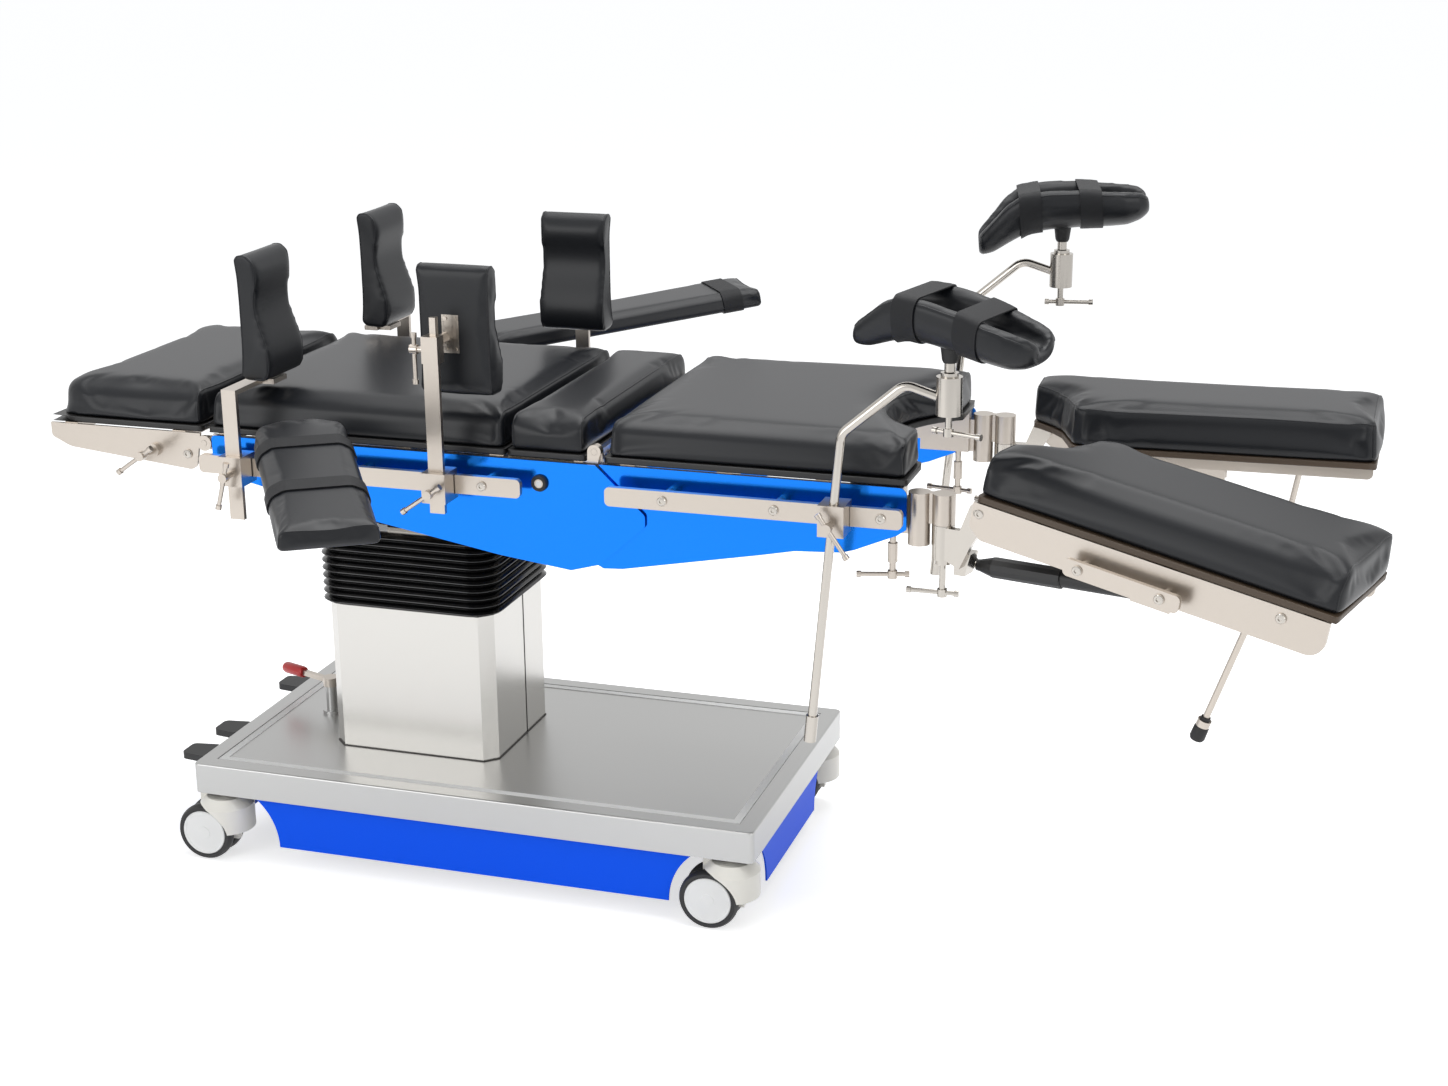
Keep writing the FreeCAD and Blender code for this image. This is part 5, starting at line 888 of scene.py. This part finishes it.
def leg_fittings(name):
    """The rubber tip of a release lever and the sleeve on a gas spring."""
    hang = Matrix.Translation((0.424, 0, -0.022)) @ Matrix.Rotation(math.radians(190), 4, "Y")
    tip = revolved([(0.0, 0.168), (0.0068, 0.168), (0.0078, 0.176), (0.0108, 0.186), (0.0112, 0.203),
                    (0.0095, 0.2065), (0.0, 0.2065)], leg_place(name) @ hang)
    place_piece(f"release_tip_{name}", tip, DARK, f"release_{name}")
    fork = Vector(JOINT[f"spring_turn_{name}"]["pos_m"])
    aim = Vector(JOINT[f"plunger_slide_{name}"]["axis"])
    eye = ROD_EYE[name]
    profile = [(0.0, eye - 0.012), (0.0085, eye - 0.012), (0.0095, eye - 0.018), (0.0145, eye - 0.036),
               (0.0160, eye - 0.040), (0.0160, eye - 0.150), (0.0140, eye - 0.151), (0.0140, eye - 0.042),
               (0.0, eye - 0.042)]
    sleeve = revolved(profile, along(fork, aim), 12)
    place_piece(f"spring_sleeve_{name}", sleeve, PEDAL, f"plunger_{name}", smooth=False)


def crank_socket():
    """The crank socket's dark ring and white button on the near cover."""
    place = along((HIP.x - 0.088, -0.267, RAIL_MID + 0.003), (0, -1, 0))
    ring = revolved([(0.0060, -0.0005), (0.0125, -0.0005), (0.0135, 0.0035), (0.0120, 0.0072),
                     (0.0085, 0.0075), (0.0060, 0.0050)], place)
    place_piece("crank_ring", ring, DARK, "back")
    button = revolved([(0.0, 0.0015), (0.0060, 0.0015), (0.0060, 0.0052), (0.0045, 0.0062),
                       (0.0, 0.0064)], place)
    place_piece("crank_button", button, WHITE, "back")


def sheet_lines():
    """The column's seam and foot line, and a painted highlight: a pale strip round the base's top where its
    edge catches the light.
    """
    low, high = (Vector(corner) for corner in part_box("column_cover"))
    seam = slim_box((high.x - 0.0006, 0.0195, low.z + 0.002), (high.x + 0.0007, 0.0215, high.z - 0.001))
    place_piece("column_seam", seam, SEAM, "base", smooth=False)
    proud, line_wide, crop = 0.0015, 0.0045, 0.021
    foot = slim_frame(low.x - proud, high.x + proud, low.y - proud, high.y + proud,
                      line_wide, low.z, low.z + 0.0015, crop)
    place_piece("column_foot_line", foot, SEAM, "base", smooth=False)
    # The pale strip is a painted highlight where the base's top edge catches the light, not a trim of its own
    inset, highlight_wide = 0.032, 0.013
    highlight_strip = slim_frame(BASE_LOW.x + inset, BASE_HIGH.x - inset, BASE_LOW.y + inset, BASE_HIGH.y - inset,
                     highlight_wide, BASE_TOP - 0.0016, BASE_TOP - 0.0004, 0.0)
    place_piece("base_rim_strip", highlight_strip, PAINTED_HIGHLIGHT, "base", smooth=False)


def fittings():
    """The small pieces that the solids leave to the scene."""
    lever_grip()
    for name in SIDES:
        leg_fittings(name)
    crank_socket()
    sheet_lines()


def screw_head():
    """A low button head with a hexagonal recess, its foot at the origin."""
    count = 24
    points = []
    levels = [(0.0072, 0.0, False), (0.0072, 0.0008, False), (0.0062, 0.0018, False),
              (0.0034, 0.0021, True), (0.0032, 0.0004, True)]
    for radius, z, hexagonal in levels:
        for step in range(count):
            angle = 2 * math.pi * step / count
            reach = radius
            if hexagonal:
                sector = (angle % (math.pi / 3)) - math.pi / 6
                reach = radius * math.cos(math.pi / 6) / math.cos(sector)
            points.append((reach * math.cos(angle), reach * math.sin(angle), z))
    faces = ring_faces(len(levels), count)
    faces.append(tuple(reversed(range(count))))
    faces.append(tuple(range((len(levels) - 1) * count, len(levels) * count)))
    return joined_mesh("screw_head", points, faces)


def screw_nodes():
    """A node group that stands one screw on every point, along the point's aim."""
    group = bpy.data.node_groups.new("Screws", "GeometryNodeTree")
    face = group.interface
    face.new_socket("Points", in_out="INPUT", socket_type="NodeSocketGeometry")
    face.new_socket("Screw", in_out="INPUT", socket_type="NodeSocketObject")
    face.new_socket("Size", in_out="INPUT", socket_type="NodeSocketFloat")
    face.new_socket("Finish", in_out="INPUT", socket_type="NodeSocketMaterial")
    face.new_socket("Screws", in_out="OUTPUT", socket_type="NodeSocketGeometry")
    given = group.nodes.new("NodeGroupInput")
    made = group.nodes.new("NodeGroupOutput")
    aim = group.nodes.new("GeometryNodeInputNamedAttribute")
    aim.data_type = "FLOAT_VECTOR"
    aim.inputs["Name"].default_value = "aim"
    turn = group.nodes.new("FunctionNodeAlignRotationToVector")
    turn.axis = "Z"
    info = group.nodes.new("GeometryNodeObjectInfo")
    stand = group.nodes.new("GeometryNodeInstanceOnPoints")
    realize = group.nodes.new("GeometryNodeRealizeInstances")
    paint = group.nodes.new("GeometryNodeSetMaterial")
    link = group.links.new
    link(given.outputs["Points"], stand.inputs["Points"])
    link(given.outputs["Screw"], info.inputs["Object"])
    link(info.outputs["Geometry"], stand.inputs["Instance"])
    link(aim.outputs["Attribute"], turn.inputs["Vector"])
    link(turn.outputs["Rotation"], stand.inputs["Rotation"])
    link(given.outputs["Size"], stand.inputs["Scale"])
    link(stand.outputs["Instances"], realize.inputs["Geometry"])
    link(realize.outputs["Geometry"], paint.inputs["Geometry"])
    link(given.outputs["Finish"], paint.inputs["Material"])
    link(paint.outputs["Geometry"], made.inputs["Screws"])
    return group


def screw_rows():
    """Where the screws stand on each body, and which way they look."""
    rows = {"back": [], "seat": [], "head": [], "leg_near": [], "leg_far": []}
    for name, side in SIDES.items():
        aim = (0, side, 0)
        for reach in (0.600, 0.390, 0.172):
            rows["back"].append(((HIP.x - reach, side * RAIL_FACE, RAIL_MID), aim))
        for reach in (0.124, 0.300, 0.464):
            rows["seat"].append(((HIP.x + reach, side * RAIL_FACE, RAIL_MID), aim))
        rows["head"].append(((JOINT["head_turn"]["pos_m"][0] - 0.031, side * HEAD_FACE, 0.725), aim))
        place = leg_place(name)
        turned = place.to_3x3() @ Vector(aim)
        spots = ((0.180, 0.051, -0.021), (0.306, 0.051, -0.021), (0.470, 0.023, 0.0), (0.004, 0.021, 0.0))
        for x, y, z in spots:
            rows[f"leg_{name}"].append((place @ Vector((x, side * y, z)), turned))
    return rows


def screws():
    """Button screws on rails and plates, one piece per body."""
    rows = screw_rows()
    group = screw_nodes()
    keys = {item.name: item.identifier for item in group.interface.items_tree if item.in_out == "INPUT"}
    head = scratch(screw_head())
    for body, spots in rows.items():
        cloud = joined_mesh("spots", [place for place, aim in spots], [])
        aims = cloud.attributes.new("aim", "FLOAT_VECTOR", "POINT")
        for item, (place, aim) in zip(aims.data, spots):
            item.vector = aim
        holder = scratch(cloud)
        maker = holder.modifiers.new("Screws", "NODES")
        maker.node_group = group
        maker[keys["Screw"]] = head
        maker[keys["Size"]] = 1.0
        maker[keys["Finish"]] = POLISHED
        mesh = evaluated_mesh(holder)
        forget(holder)
        place_piece(f"{body}_screws", mesh, POLISHED, body, smooth=False)
    forget(head)


def camera():
    """The photograph's camera, found from the base and the rails."""
    data = bpy.data.cameras.new("camera")
    data.sensor_width = SENSOR
    data.sensor_fit = "HORIZONTAL"
    data.lens = FOCAL_PIXELS / PHOTO_WIDE * SENSOR
    eye = bpy.data.objects.new("camera", data)
    bpy.context.scene.collection.objects.link(eye)
    right = Vector((0.953872, 0.300123, -0.007378))
    up = Vector((-0.083456, 0.288693, 0.953777))
    ahead = Vector((-0.288381, 0.909166, -0.300423))
    turn = Matrix((right, up, -ahead)).transposed().to_4x4()
    eye.matrix_world = Matrix.Translation((1.43569 + BASE_X, -3.36644, 1.67720)) @ turn
    bpy.context.scene.camera = eye


def either(nodes, links, first, second):
    """One where either of two light path values is one."""
    highest = nodes.new("ShaderNodeMath")
    highest.operation = "MAXIMUM"
    links.new(first, highest.inputs[0])
    links.new(second, highest.inputs[1])
    return highest.outputs[0]


def surroundings(scene):
    """Soft light for the object, and plain white where the camera, glass or metal looks past it."""
    world = bpy.data.worlds.new("surroundings")
    scene.world = world
    world.use_nodes = True
    nodes, links = world.node_tree.nodes, world.node_tree.links
    nodes.clear()
    path = nodes.new("ShaderNodeLightPath")
    seen = either(nodes, links, path.outputs["Is Camera Ray"], path.outputs["Is Transmission Ray"])
    seen = either(nodes, links, seen, path.outputs["Is Glossy Ray"])
    light = nodes.new("ShaderNodeBackground")
    light.inputs["Color"].default_value = (0.95, 0.97, 1.0, 1.0)
    light.inputs["Strength"].default_value = 0.42
    shown = nodes.new("ShaderNodeBackground")
    shown.inputs["Color"].default_value = (1.0, 1.0, 1.0, 1.0)
    shown.inputs["Strength"].default_value = 1.0
    mix = nodes.new("ShaderNodeMixShader")
    out = nodes.new("ShaderNodeOutputWorld")
    links.new(seen, mix.inputs["Fac"])
    links.new(light.outputs[0], mix.inputs[1])
    links.new(shown.outputs[0], mix.inputs[2])
    links.new(mix.outputs[0], out.inputs["Surface"])


def pale_floor(scene):
    """A wide floor that looks white and keeps the object's shadow."""
    mesh = joined_mesh("floor", [(-30, -30, 0), (30, -30, 0), (30, 30, 0), (-30, 30, 0)], [(0, 1, 2, 3)])
    floor = bpy.data.objects.new("floor", mesh)
    scene.collection.objects.link(floor)
    paint = bpy.data.materials.new("floor_paint")
    paint.use_nodes = True
    nodes, links = paint.node_tree.nodes, paint.node_tree.links
    shader = nodes["Principled BSDF"]
    shader.inputs["Base Color"].default_value = (0.92, 0.92, 0.92, 1.0)
    shader.inputs["Roughness"].default_value = 0.9
    shader.inputs["Specular IOR Level"].default_value = 0.0
    path = nodes.new("ShaderNodeLightPath")
    lift = nodes.new("ShaderNodeMath")
    lift.operation = "MULTIPLY"
    lift.inputs[1].default_value = 0.62
    seen = either(nodes, links, path.outputs["Is Camera Ray"], path.outputs["Is Glossy Ray"])
    links.new(seen, lift.inputs[0])
    shader.inputs["Emission Color"].default_value = (1.0, 1.0, 1.0, 1.0)
    links.new(lift.outputs[0], shader.inputs["Emission Strength"])
    mesh.materials.append(paint)


def lamps(scene):
    """Broad soft lamps above, in front and at the foot end."""
    for name, place, aim, size, power in (
            ("ceiling_lamp", (0.0, 0.4, 3.6), (0.0, 0.0, 0.6), 3.0, 95.0),
            ("front_lamp", (-2.2, -3.6, 1.8), (0.0, 0.0, 0.5), 2.4, 46.0),
            ("side_lamp", (3.6, -1.6, 2.0), (0.2, 0.0, 0.7), 2.0, 26.0)):
        data = bpy.data.lights.new(name, "AREA")
        data.size = size
        data.energy = power
        lamp = bpy.data.objects.new(name, data)
        lamp.location = place
        lamp.rotation_euler = (Vector(aim) - Vector(place)).to_track_quat("-Z", "Y").to_euler()
        scene.collection.objects.link(lamp)


def studio():
    """White surroundings, a pale floor and soft lamps."""
    scene = bpy.context.scene
    scene.view_settings.view_transform = "Standard"
    surroundings(scene)
    pale_floor(scene)
    lamps(scene)


paint_nodes()
main_cushions()
leg_cushions()
arm_cushions()
contoured_cushions()
cradle_cushions()
cradle_straps()
castor_wheels()
bellows_folds()
fittings()
screws()
camera()
studio()
